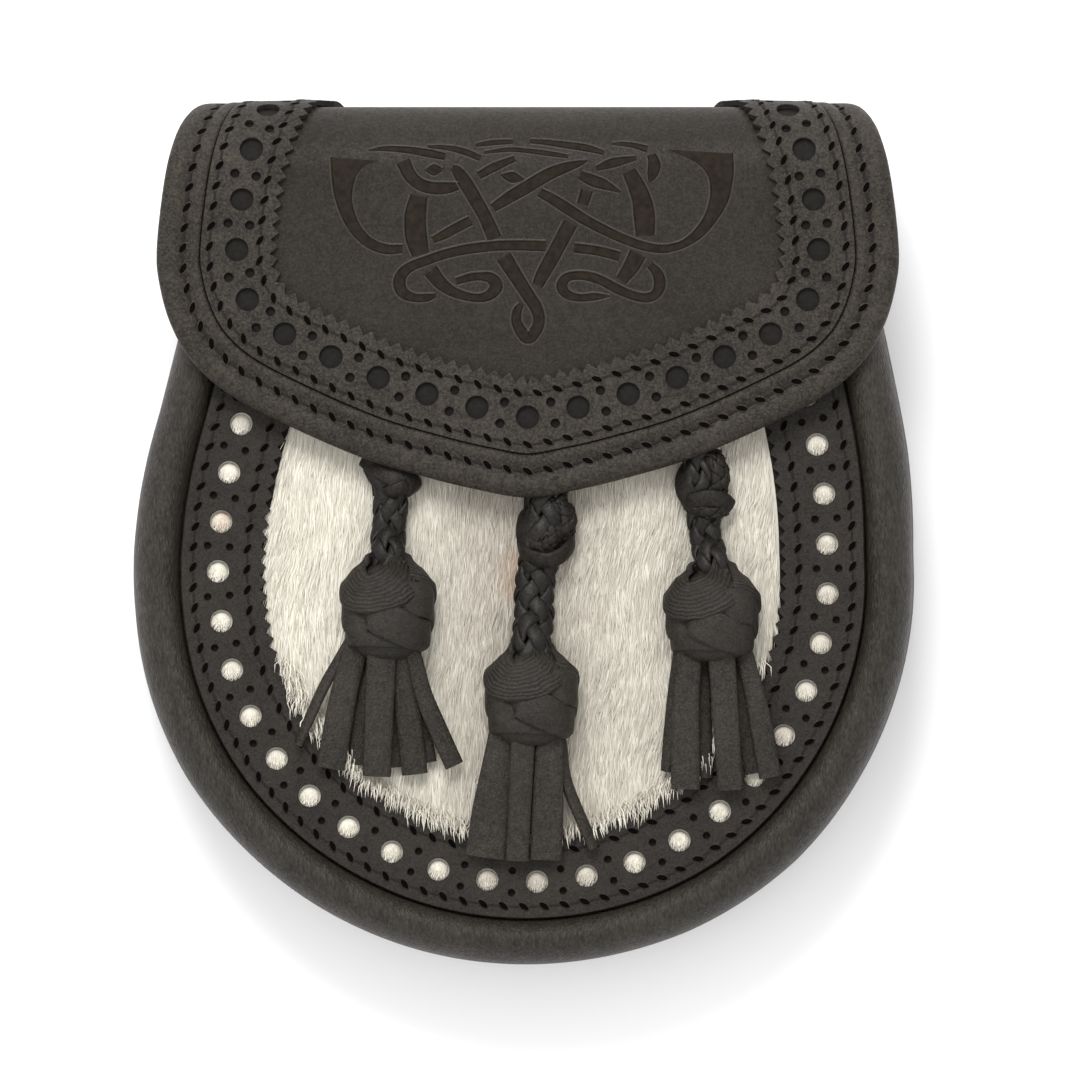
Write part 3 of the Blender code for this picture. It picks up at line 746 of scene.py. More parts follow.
@dataclass(frozen=True)
class FlapForm:
    """The flap's leather as it lies: down the front, over the mouth, and along the back."""

    tip: tuple[float, float] = (8.2 * MM, 51.6 * MM)
    fold: tuple[float, float] = (88.25 * MM, 49.0 * MM)
    fold_radius: float = 16.2 * MM
    tail_z: float = 5.7 * MM
    sag: float = 0.5 * MM
    corner_sag: float = 2.2 * MM
    sag_start: float = 0.75  # where the sag starts and how long it grows, as shares of the front
    sag_growth: float = 0.45
    corner_start: float = 52.0 * MM
    corner_growth: float = 38.0 * MM
    aside: float = 1.3 * MM
    outline: Table = (
        (0.0, 0.0), (12.0, 1.9), (24.0, 4.8), (40.0, 9.6), (58.0, 17.4), (73.0, 25.3),
        (82.0, 33.4), (87.0, 42.0), (89.8, 51.5), (90.6, 61.0), (88.6, 80.0), (86.0, 92.0),
        (83.0, 101.0), (79.8, 111.0), (76.0, 124.0), (71.0, 140.0), (67.0, 155.0), (65.0, 170.0),
    )  # half width and distance up the sheet, in mm

    def edge(self, spacing: float = 1.0 * MM) -> Array:
        """The flat sheet's outline, from one end of the tail round the tip to the other."""
        return evenly(curve_through(both_sides(np.array(self.outline) * MM), 12), spacing)

    def parts(self) -> tuple[float, float, float, float]:
        """Where the fold starts, the front arc ends, the back arc starts and the tail starts."""
        front = math.dist(self.tip, self.fold)
        arc = self.fold_radius * math.pi / 2
        drop = (self.fold[1] - self.fold_radius) - (self.tail_z + self.fold_radius)
        return front, front + arc, front + arc + drop, front + 2 * arc + drop

    def bent(self, flat: Array) -> Array:
        """Lays points of the flat sheet on the folded flap.

        Args:
            flat: across, distance up the sheet, and height over its outer face, as (points, 3).

        Returns:
            The points in place.
        """
        flat = np.asarray(flat, float)
        up, height = flat[:, 1], flat[:, 2]
        front, over, behind, tail = self.parts()
        r = self.fold_radius
        run = (np.array(self.fold) - self.tip) / front
        where = np.zeros((len(flat), 2))
        out = np.zeros((len(flat), 2))
        upper = np.array([self.fold[0], self.fold[1] - r])
        lower = np.array([self.fold[0], self.tail_z + r])
        angle = math.pi / 2 - (up - front) / r
        back_angle = -(up - behind) / r
        first = up < front
        where[first] = np.array(self.tip) + up[first, None] * run
        out[first] = (-run[1], run[0])
        for mask, centre, turn in (
            ((up >= front) & (up < over), upper, angle),
            ((up >= behind) & (up < tail), lower, back_angle),
        ):
            out[mask] = np.stack([np.cos(turn[mask]), np.sin(turn[mask])], axis=1)
            where[mask] = centre + r * out[mask]
        mask = (up >= over) & (up < behind)
        where[mask] = np.stack([np.full(mask.sum(), upper[0] + r), upper[1] - (up[mask] - over)], axis=1)
        out[mask] = (1.0, 0.0)
        mask = up >= tail
        where[mask] = np.stack([lower[0] - (up[mask] - tail), np.full(mask.sum(), self.tail_z)], axis=1)
        out[mask] = (0.0, -1.0)
        side = where + out * height[:, None]
        share = np.clip((up - self.sag_start * front) / (self.sag_growth * front), 0.0, 1.0)
        corner = np.clip((np.abs(flat[:, 0]) - self.corner_start) / self.corner_growth, 0.0, 1.0) ** 2
        sag = (self.sag + corner * self.corner_sag) * share**2 * (3 - 2 * share)
        return np.stack([flat[:, 0] + self.aside, side[:, 0] - sag, side[:, 1]], axis=1)

    def on_sheet(self, path: Array, height: Array | float) -> Array:
        """A flat path of the sheet, in place at this height over the outer face."""
        return self.bent(raised(path, height))

    def fold_mesh(self, mesh: Mesh, rise: float) -> Mesh:
        """Folds a flat mesh over the mouth, with its lower face at rise from the outer face."""
        return turn_outward(set_points(mesh, self.bent(points_of(mesh) + (0.0, 0.0, rise))))


# ---------------------------------------------------------------- rows made by geometry nodes


def run_nodes(name: str, mesh: Mesh, tree: bpy.types.NodeTree, values: dict[str, object]) -> Mesh:
    """What a tree of geometry nodes makes of a mesh.

    Args:
        name: the result's name.
        mesh: the mesh that goes in.
        tree: the tree.
        values: its inputs, by the name of their sockets.

    Returns:
        The result, without materials.
    """
    source = link(name, mesh)
    modifier = source.modifiers.new("nodes", "NODES")
    modifier.node_group = tree
    for item in tree.interface.items_tree:
        if item.item_type == "SOCKET" and item.in_out == "INPUT" and item.name in values:
            modifier[item.identifier] = values[item.name]
    graph = bpy.context.evaluated_depsgraph_get()
    result = bpy.data.meshes.new_from_object(source.evaluated_get(graph))
    source.modifiers.clear()
    bpy.data.objects.remove(source)
    result.materials.clear()
    result.name = name
    return result


def end_tree(w: Wiring, instances: Socket, finish: Socket, leave: bpy.types.Node) -> bpy.types.NodeTree:
    """Ends a tree of geometry nodes: makes its instances real and sets their material."""
    real = w.add("GeometryNodeRealizeInstances", {"Geometry": instances})
    dressed = w.add("GeometryNodeSetMaterial", {"Geometry": real.outputs[0], "Material": finish})
    w.feed(leave, {0: dressed.outputs[0]})
    return w.tree


@cache
def row_tree() -> bpy.types.NodeTree:
    """The tree that sets one shape at equal steps along a guide, standing on the guide's own up direction."""
    inputs = {"Guide": "Geometry", "Shape": "Object", "Pitch": 5.0 * MM, "Turn": 0.0, "Shake": 0.06, "Seed": 1}
    inputs |= {"Finish": "Material"}
    w, given, leave = new_group("row of stitches", "GeometryNodeTree", inputs, {"Row": "Geometry"})
    line = w.add("GeometryNodeMeshToCurve", {"Mesh": given["Guide"]})
    steps = w.add("GeometryNodeResampleCurve", {"Curve": line.outputs[0], "Length": given["Pitch"]}, mode="LENGTH")
    up = w.add("GeometryNodeInputNamedAttribute", {"Name": "up"}, data_type="FLOAT_VECTOR")
    along = w.add("GeometryNodeInputTangent")
    axes = {"Primary Axis": up.outputs["Attribute"], "Secondary Axis": along.outputs[0]}
    stand = w.add("FunctionNodeAxesToRotation", axes, primary_axis="Z", secondary_axis="X")
    loose = w.random(w.times(given["Shake"], -1.0), given["Shake"], given["Seed"])
    twist = w.add("FunctionNodeAxisAngleToRotation", {"Axis": UP, "Angle": w.plus(given["Turn"], loose)})
    turns = {"Rotation": stand.outputs[0], "Rotate By": twist.outputs[0]}
    turned = w.add("FunctionNodeRotateRotation", turns, rotation_space="LOCAL")
    shape = w.add("GeometryNodeObjectInfo", {"Object": given["Shape"]}).outputs["Geometry"]
    inputs = {"Points": steps.outputs[0], "Instance": shape, "Rotation": turned.outputs[0]}
    placed = w.add("GeometryNodeInstanceOnPoints", inputs)
    return end_tree(w, placed.outputs[0], given["Finish"], leave)


def row_of(
    name: str, path: Array, up: Array, shape: Mesh, finish: Finish, pitch: float, turn: float, seed: int
) -> Mesh:
    """A row of one small shape along a path.

    Args:
        name: the row's name.
        path: the points that it follows.
        up: the direction away from the leather at each of them.
        shape: the small shape, lying along X with its foot at the origin.
        finish: its finish.
        pitch: from one to the next.
        turn: how far each is turned from the path, in degrees.
        seed: for the small random turns.

    Returns:
        The whole row as one mesh.
    """
    guide = raw_mesh(name, path, [], [(k, k + 1) for k in range(len(path) - 1)])
    standing = guide.attributes.new("up", "FLOAT_VECTOR", "POINT")
    standing.data.foreach_set("vector", np.asarray(up, np.float32).ravel())
    stamp = link(name + "_shape", shape)
    total = length_along(path)[-1]
    step = KEEPS_LAST * total / max(1, round(total / pitch))
    values = {"Shape": stamp, "Pitch": step, "Turn": math.radians(turn), "Seed": seed, "Finish": finish.material()}
    row = run_nodes(name, guide, row_tree(), values)
    bpy.data.objects.remove(stamp)
    return row


@dataclass(frozen=True)
class Stitch:
    """A sewn stitch: the slanted slit of the awl, drawn as painted shade, and the thread that dips into it."""

    pitch: float = 5.0 * MM
    slit_length: float = 2.7 * MM
    slit_width: float = 1.3 * MM
    slant: float = -34.0
    thread_width: float = 0.55 * MM
    thread_height: float = 0.17 * MM

    def thread_shape(self) -> Mesh:
        """One length of thread, humped in the middle, with both ends down in their slits."""
        span = (self.pitch - 0.75 * self.slit_length) / 2
        turn, rows = full_turn(8), []
        for t in np.linspace(-1.0, 1.0, 11):
            size = 0.35 + 0.65 * math.sqrt(max(0.0, 1.0 - abs(t) ** 3))
            y = np.cos(turn) * self.thread_width / 2 * size
            z = self.thread_height * (np.sin(turn) * size + 0.35 - 1.1 * abs(t) ** 4)
            rows.append(np.stack([np.full(len(turn), t * span), y, z], axis=1))
        return loft("thread", rows)

    def slit_shape(self) -> Mesh:
        """A dark pointed lens just over the leather: painted shade for the shade inside the awl's slit."""
        turn = full_turn(12)
        x, y = np.cos(turn) * self.slit_length / 2, blunt(np.sin(turn), 1.5) * self.slit_width / 2
        points = raised(np.vstack([np.stack([x, y], axis=1), (0.0, 0.0)]), 0.12 * MM)
        return turn_outward(raw_mesh("slit", points, [(k, (k + 1) % 12, 12) for k in range(12)]))

    def lip_shape(self) -> Mesh:
        """The leather raised round a slit."""
        turn, rows = full_turn(16), []
        heavy = 0.55 + 0.45 * np.clip(-np.sin(turn), 0.0, 1.0)
        for grow, height in ((0.0, 0.0), (0.08, 0.22), (0.22, 0.18), (0.46, -0.06)):
            x = np.cos(turn) * (self.slit_length / 2 + grow * MM)
            y = np.sin(turn) * (0.9 * self.slit_width / 2 + grow * MM)
            rows.append(np.stack([x, y, height * MM * heavy], axis=1))
        return turn_outward(raw_mesh("lip", np.vstack(rows), grid_faces(4, len(turn), loop_columns=True)))


def sew(name: str, rows: Sequence[tuple[Array, Array]], leather: Finish, stitch: Stitch = Stitch()) -> list[Object]:
    """Sews rows of stitches.

    Args:
        name: the seams' name.
        rows: the path and the up direction of each row.
        leather: the finish of the leather that is sewn.
        stitch: the stitch's sizes.

    Returns:
        The pieces: threads, slits drawn as painted shade, and raised lips.
    """
    pieces = []
    for part, shape, finish, turn in (
        ("thread", stitch.thread_shape, THREAD, 0.0), ("slits", stitch.slit_shape, SLIT_SHADE, stitch.slant),
        ("lips", stitch.lip_shape, leather, stitch.slant),
    ):
        meshes = []
        for index, (path, up) in enumerate(rows):
            known = length_along(path)
            step = known[-1] / max(1, round(known[-1] / stitch.pitch))
            margin = step / 2 if part == "thread" else 0.0
            wanted = np.linspace(margin, known[-1] - margin, len(path))
            line, ups = between(wanted, known, path), between(wanted, known, up)
            meshes.append(row_of(f"{name}_{part}_{index}", line, ups, shape(), finish, step, turn, 7 + index))
        pieces.append(show(f"{name}_{part}", joined(f"{name}_{part}", meshes), [finish]))
    return pieces


# ---------------------------------------------------------------- the picture


@dataclass(frozen=True)
class Picture:
    """The photograph's frame: a distant camera over the front, leaning very slightly to the right."""

    side: float = 1068.0
    field: float = 261.5 * MM
    distance: float = 5.0
    lean: float = 0.5
    aim: tuple[float, float, float] = (2.7 * MM, -0.65 * MM, 34.0 * MM)
    sensor: float = 36.0

    def away(self) -> Vector:
        """The direction from the pouch to the camera."""
        lean = math.radians(self.lean)
        return Vector((math.sin(lean), 0.0, math.cos(lean)))

    def at(self, x: float, y: float, height: float) -> tuple[float, float]:
        """Where a pixel's ray meets the level at this height.

        Args:
            x: the pixel's column.
            y: the pixel's row.
            height: the level's z.

        Returns:
            Its x and y in metres.
        """
        away, right, _ = self.axes()
        start = Vector(self.aim) + away * self.distance
        scale = self.field / self.distance
        ray = -away + right * ((x / self.side - 0.5) * scale) + Vector((0, 1, 0)) * ((0.5 - y / self.side) * scale)
        spot = start + ray * ((height - start.z) / ray.z)
        return spot.x, spot.y

    def axes(self) -> tuple[Vector, Vector, Vector]:
        """The directions towards the camera, to its right, and up in the picture."""
        away = self.away()
        right = Vector((away.z, 0.0, -away.x))
        return away, right, away.cross(right)

    def make_camera(self) -> Object:
        """The scene's camera."""
        data = bpy.data.cameras.new("camera")
        data.sensor_width = self.sensor
        data.lens = self.sensor * self.distance / self.field
        data.clip_start, data.clip_end = 0.1, 60.0
        camera = link("camera", data)
        away, right, up = self.axes()
        camera.location = Vector(self.aim) + away * self.distance
        camera.rotation_mode = "QUATERNION"
        camera.rotation_quaternion = Matrix((right, up, away)).transposed().to_quaternion()
        bpy.context.scene.camera = camera
        return camera


@dataclass(frozen=True)
class Studio:
    """A pale floor and soft light from the upper left."""

    floor_side: float = 12.0
    sky: float = 1.16
    key_power: float = 21.0
    fill_power: float = 3.0
    fold_power: float = 8.0

    def make_floor(self) -> Object:
        """The floor, just under the pouch."""
        half = self.floor_side / 2
        corners = np.array([(-half, -half), (half, -half), (half, half), (-half, half)])
        mesh = turn_outward(raw_mesh("floor", raised(corners, -0.1 * MM), [(0, 1, 2, 3)]))
        mesh.materials.append(FLOOR.material())
        floor = link("floor", mesh)
        return floor

    def lamp(self, name: str, power: float, size: float, place: tuple[float, float, float]) -> Object:
        """A soft box that points at the pouch."""
        data = bpy.data.lights.new(name, "AREA")
        data.energy = power
        data.shape = "DISK"
        data.size = size
        lamp = link(name, data)
        lamp.location = place
        lamp.rotation_mode = "QUATERNION"
        lamp.rotation_quaternion = (-Vector(place)).to_track_quat("-Z", "Y")
        lamp.visible_camera = False
        return lamp

    def make_light(self) -> None:
        """The soft boxes, the even light all round, and the plain view of it."""
        self.lamp("key", self.key_power, 0.7, (-0.2, 1.0, 1.5))
        self.lamp("fill", self.fill_power, 1.4, (-1.2, -0.4, 1.2))
        self.lamp("over_fold", self.fold_power, 0.8, (-0.1, 2.0, 0.06))
        world = bpy.data.worlds.new("studio")
        world.use_nodes = True
        background = world.node_tree.nodes["Background"]
        background.inputs["Color"].default_value = (1.0, 1.0, 1.0, 1.0)
        background.inputs["Strength"].default_value = self.sky
        bpy.context.scene.world = world
        bpy.context.scene.view_settings.view_transform = "Standard"


# ---------------------------------------------------------------- the body


@dataclass
class GussetShell:
    """The channel round the sides and bottom: a rolled edge in front, a piped one behind."""

    outline: BodyOutline
    mouth: float = 86.0 * MM
    lip_behind: Table = ((17.0, 10.3), (11.2, 10.3), (11.2, 5.0))
    skin: Table = (
        (11.2, 3.6), (9.6, 0.5), (7.2, 0.0), (4.8, 0.0), (2.6, 1.5), (1.5, 4.2), (0.9, 6.3), (0.15, 7.6),
        (-0.5, 9.4), (-0.35, 11.2), (0.45, 12.4), (0.75, 13.6), (0.35, 15.6), (0.0, 20.0), (-0.1, 28.0),
        (0.0, 36.0), (0.55, 40.6), (1.9, 43.6), (4.2, 45.8), (7.2, 46.6), (9.6, 45.3), (10.9, 42.9),
        (11.4, 40.2),
    )  # inset and height, in mm
    lip_front: Table = ((11.5, 39.0), (17.0, 39.0))
    inner: Table = (
        (17.0, 12.3), (13.2, 12.3), (9.2, 12.0), (9.0, 5.0), (8.0, 2.4), (5.0, 2.2), (3.3, 4.4), (2.1, 12.0),
        (2.0, 20.0), (2.0, 36.0), (2.8, 41.4), (5.4, 44.2), (7.4, 44.6), (8.8, 43.2), (9.4, 38.4), (10.0, 37.0),
        (17.0, 37.0),
    )

    def section(self) -> Array:
        """The closed section through the leather: its outer face, then its inner one."""
        face = np.vstack([self.lip_behind, curve_through(np.array(self.skin), 4), self.lip_front]) * MM
        face[:, 1] = np.maximum(face[:, 1], 0.0)
        return np.vstack([face, np.array(self.inner)[::-1] * MM])

    def make(self) -> list[Object]:
        """The shell, in its leather."""
        rows = [raised(self.outline.at(inset, self.mouth), height) for inset, height in self.section()]
        shell = loft("shell", np.transpose(rows, (1, 0, 2)))
        return [show("gusset_shell", shell, [ROLL_LEATHER], ["gusset"], SOFT_CREASE)]


@dataclass
class HideFront:
    """The hide that closes the front: its skin, the hair in the window, and the tufts in the ring's holes."""

    outline: BodyOutline
    ring: "FrontRing"
    inset: float = 11.8 * MM
    top: float = 80.0 * MM
    low: float = 39.3 * MM
    thick: float = 2.0 * MM
    density: float = 6.0e6
    hair_length: float = 8.0 * MM
    hair_width: float = 0.30 * MM
    strips: tuple[float, ...] = (-70.0, -8.0, 20.0, 70.0)
    fringe_insets: tuple[float, float] = (0.4 * MM, 3.4 * MM)
    fringe_reach: float = 60.0 * MM
    fringe_density: float = 3.2e6
    tuft_rise: float = 1.25 * MM
    tuft_inset: float = 0.5 * MM
    window_top: float = 52.0 * MM
    window_inset: float = 0.4 * MM
    fringe_top: float = -30.0 * MM  # the fringe lies below this y

    def surface(self) -> float:
        """The height of the skin."""
        return self.low + self.thick

    @staticmethod
    @cache
    def hair_tree() -> bpy.types.NodeTree:
        """The tree that grows hair on a patch: short flat blades that lie down the hide."""
        inputs = {"Patch": "Geometry", "Density": 1.0e6, "Length": 8.0 * MM, "Width": 0.3 * MM, "Rise": 0.8 * MM}
        inputs |= {"Slant": 0.1, "Seed": 3, "Finish": "Material"}
        w, given, leave = new_group("hair", "GeometryNodeTree", inputs, {"Hair": "Geometry"})
        inputs = {"Mesh": given["Patch"], "Density": given["Density"], "Seed": given["Seed"]}
        roots = w.add("GeometryNodeDistributePointsOnFaces", inputs)
        inputs = {"Size X": 1.0, "Size Y": 1.0, "Vertices X": 2, "Vertices Y": 3}
        blade = w.add("GeometryNodeMeshGrid", inputs)
        where = w.add("ShaderNodeSeparateXYZ", {0: w.add("GeometryNodeInputPosition").outputs[0]})
        down = w.math("SUBTRACT", 0.5, where.outputs["Y"])
        slim = w.math("SUBTRACT", 1.0, w.times(w.math("POWER", down, 2.0), 0.9))
        arch = w.times(down, w.math("SUBTRACT", 1.45, down), 2.2)
        x = w.times(where.outputs["X"], slim, given["Width"])
        y = w.times(down, -1.0, given["Length"])
        shaped = w.add("ShaderNodeCombineXYZ", {"X": x, "Y": y, "Z": w.times(arch, given["Rise"])})
        inputs = {"Geometry": blade.outputs["Mesh"], "Position": shaped.outputs[0]}
        bladed = w.add("GeometryNodeSetPosition", inputs)
        at = w.add("GeometryNodeInputPosition").outputs[0]
        flow, tuft = w.noise(at, 60.0, 2.0), w.noise(at, 420.0, 1.0)
        odd = w.random(-0.16, 0.16, given["Seed"])
        sway = w.plus(w.spread(flow, 0.3, 0.7, -0.22, 0.22), w.spread(tuft, 0.3, 0.7, -0.16, 0.16))
        lean = w.plus(sway, odd, given["Slant"])
        roll, lift = w.random(-0.5, 0.5, 11), w.random(-0.03, 0.07, 12)
        turn = w.add("ShaderNodeCombineXYZ", {"X": lift, "Y": roll, "Z": w.times(lean, -1.0)})
        inputs = {"Points": roots.outputs["Points"], "Instance": bladed.outputs[0], "Rotation": turn.outputs[0]}
        grown = w.add("GeometryNodeInstanceOnPoints", {**inputs, "Scale": w.random(0.6, 1.15, 13)})
        mixed = w.plus(w.times(w.random(0.0, 1.0, 14), 0.6), w.spread(tuft, 0.3, 0.7, 0.0, 0.4))
        inputs = {"Geometry": grown.outputs[0], "Name": "tone", "Value": mixed}
        toned = w.add("GeometryNodeStoreNamedAttribute", inputs, data_type="FLOAT", domain="INSTANCE")
        return end_tree(w, toned.outputs[0], given["Finish"], leave)

    def grow(self, name: str, patch: Mesh, **values: float) -> Object:
        """Grows hair on a patch of skin.

        Args:
            name: the piece's name.
            patch: where it grows.
            values: the tree's inputs.

        Returns:
            The hair.
        """
        hair = run_nodes(name, patch, self.hair_tree(), {"Finish": HAIR.material(), **values})
        return show(name, hair, [HAIR], crease=180.0)

    def window(self) -> Array:
        """The outline of the bare hide inside the ring."""
        return self.outline.at(self.ring.inner + self.window_inset, self.window_top, 40, 8, 6)

    def patch(self, left: float, right: float) -> Mesh:
        """The hide between two lines across, as a growing bed."""
        outline = self.window()
        mesh = raw_mesh("bed", raised(outline, self.surface()), [range(len(outline))])
        work = bmesh.new()
        work.from_mesh(mesh)
        for x, way in ((left, -1.0), (right, 1.0)):
            whole = [*work.verts, *work.edges, *work.faces]
            bmesh.ops.bisect_plane(work, geom=whole, plane_co=(x, 0, 0), plane_no=(way, 0, 0), clear_outer=True)
        bmesh.ops.triangulate(work, faces=work.faces)
        work.to_mesh(mesh)
        work.free()
        return mesh

    def make(self) -> list[Object]:
        """The skin and its hair."""
        skin = cut_leather([self.outline.at(self.inset, self.top)], self.low, self.thick)
        pieces = [show("hide_skin", skin, [HIDE_SKIN, HIDE_SKIN], ["fur_panel"], CUT_CREASE)]
        for index, (left, right) in enumerate(zip(self.strips, self.strips[1:])):
            bed = self.patch(left * MM, right * MM)
            values = {"Density": self.density, "Length": self.hair_length, "Width": self.hair_width}
            pieces.append(self.grow(f"hide_hair_{index}", bed, **values, Seed=21 + index))
        pieces.append(self.make_fringe())
        return pieces + self.make_tufts()

    def make_fringe(self) -> Object:
        """The hair that lies over the ring's teeth at the bottom of the window."""
        lines = [self.outline.at(self.ring.inner + inset, self.window_top) for inset in self.fringe_insets]
        lines = [line[np.abs(line[:, 0]) < self.fringe_reach] for line in lines]
        lines = [line[line[:, 1] < self.fringe_top] for line in lines]
        count = min(len(line) for line in lines)
        travels = [length_along(line) for line in lines]
        lines = [between(np.linspace(0.0, t[-1], count), t, line) for t, line in zip(travels, lines)]
        bed = raw_mesh("fringe_bed", raised(np.vstack(lines), self.surface()), grid_faces(2, count))
        values = {"Length": 4.3 * MM, "Width": 0.30 * MM, "Rise": 4.6 * MM, "Slant": 0.0, "Seed": 31}
        return self.grow("hide_fringe", bed, Density=self.fringe_density, **values)

    def make_tufts(self) -> list[Object]:
        """The hair that bulges in the ring's large holes."""
        large, _ = self.ring.brogueing.centres(self.ring.hole_line(), self.ring.holes_top)
        rings, turns = 4, 14
        reach = self.ring.brogueing.radius - self.tuft_inset
        shares = np.arange(rings + 1)[:, None] / rings
        dome = np.vstack([(0.0, 0.0), *(circle(np.zeros(2), share[0] * reach, turns) for share in shares[1:])])
        rise = self.tuft_rise * np.sqrt(1 - 0.93 * np.repeat(shares, [1] + rings * [turns]) ** 2)
        points, faces = [], []
        for centre in large:
            start = len(points) * len(dome)
            points.append(raised(dome + centre, self.surface() + rise))
            faces += [(start, start + 1 + j, start + 1 + (j + 1) % turns) for j in range(turns)]
            faces += grid_faces(rings, turns, loop_columns=True, start=start + 1)
        bed = raw_mesh("tuft_domes", np.vstack(points), faces)
        tufts = show("hole_tufts", bed.copy(), [HIDE_SKIN])
        values = {"Density": 8.0e6, "Length": 1.2 * MM, "Width": 0.26 * MM, "Rise": 0.25 * MM, "Seed": 5}
        return [tufts, self.grow("hole_hair", bed, **values)]


@dataclass
class FrontRing:
    """The brogued frame on the hide, with its pinked inner edge, two seams, and a thin dark sheet of painted shade
    under it.
    """

    outline: BodyOutline
    outer: float = 11.8 * MM
    inner: float = 32.6 * MM
    top: float = 80.0 * MM
    holes_top: float = 45.0 * MM
    low: float = 41.6 * MM
    leather: float = 1.6 * MM
    tooth_pitch: float = 3.5 * MM
    tooth_depth: float = 1.6 * MM
    hole_inset: float = 20.8 * MM
    backing: float = 0.26 * MM
    backing_inset: float = 0.1 * MM
    seam_insets: tuple[float, float] = (14.7 * MM, 27.9 * MM)
    seam_top: float = 50.0 * MM
    brogueing: Brogueing = Brogueing(12.2 * MM, 3.3 * MM, 2.75 * MM, 0.88 * MM, 5.4 * MM)

    def hole_line(self) -> Array:
        """The line of the large holes."""
        return evenly(self.outline.at(self.hole_inset, self.top))

    def make(self) -> list[Object]:
        """The ring, cut and sewn."""
        outer, inner = (self.outline.at(inset, self.top) for inset in (self.outer, self.inner))
        inner = toothed(inner, self.tooth_pitch, self.tooth_depth, self.holes_top)
        cuts = self.brogueing.outlines(self.hole_line(), self.holes_top)
        mesh = cut_leather([np.vstack([outer, inner[::-1]]), *cuts], self.low, self.leather)
        pieces = [show("front_ring", mesh, [RING_LEATHER, CUT_EDGE], ["border_ring"], CUT_CREASE)]
        large, _ = self.brogueing.centres(self.hole_line(), self.holes_top)
        # painted shade: a thin dark sheet just under the ring, which shows in the notches of its pinked edge and in
        # its small holes; it is cut away at the large holes, where the tufts bulge
        window = self.outline.at(self.inner - self.backing_inset, self.top)
        cuts = [circle(c, self.brogueing.radius + 0.1 * MM, self.brogueing.large_sides) for c in large]
        low = self.low - self.backing - 0.02 * MM
        backing = cut_leather([np.vstack([outer, window[::-1]]), *cuts], low, self.backing, 0.05 * MM)
        pieces.append(show("ring_backing", backing, [PAINTED_SHADE, PAINTED_SHADE], crease=CUT_CREASE))
        rows = []
        for inset in self.seam_insets:
            path = raised(evenly(self.outline.at(inset, self.seam_top)), self.low + self.leather)
            rows.append((path, np.tile(UP, (len(path), 1))))
        return pieces + sew("ring_seams", rows, RING_LEATHER)


@dataclass
class BackWall:
    """The back panel with its two belt loops."""

    outline: BodyOutline
    inset: float = 11.6 * MM
    low: float = 8.0 * MM
    leather: float = 2.0 * MM
    mouth: float = 86.0 * MM

    def make(self) -> list[Object]:
        """The panel in its leather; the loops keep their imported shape."""
        mesh = cut_leather([self.outline.at(self.inset, self.mouth)], self.low, self.leather)
        return [show("back_wall", mesh, [BACK_LEATHER, CUT_EDGE], ["back_panel"], CUT_CREASE)]


# ---------------------------------------------------------------- the flap


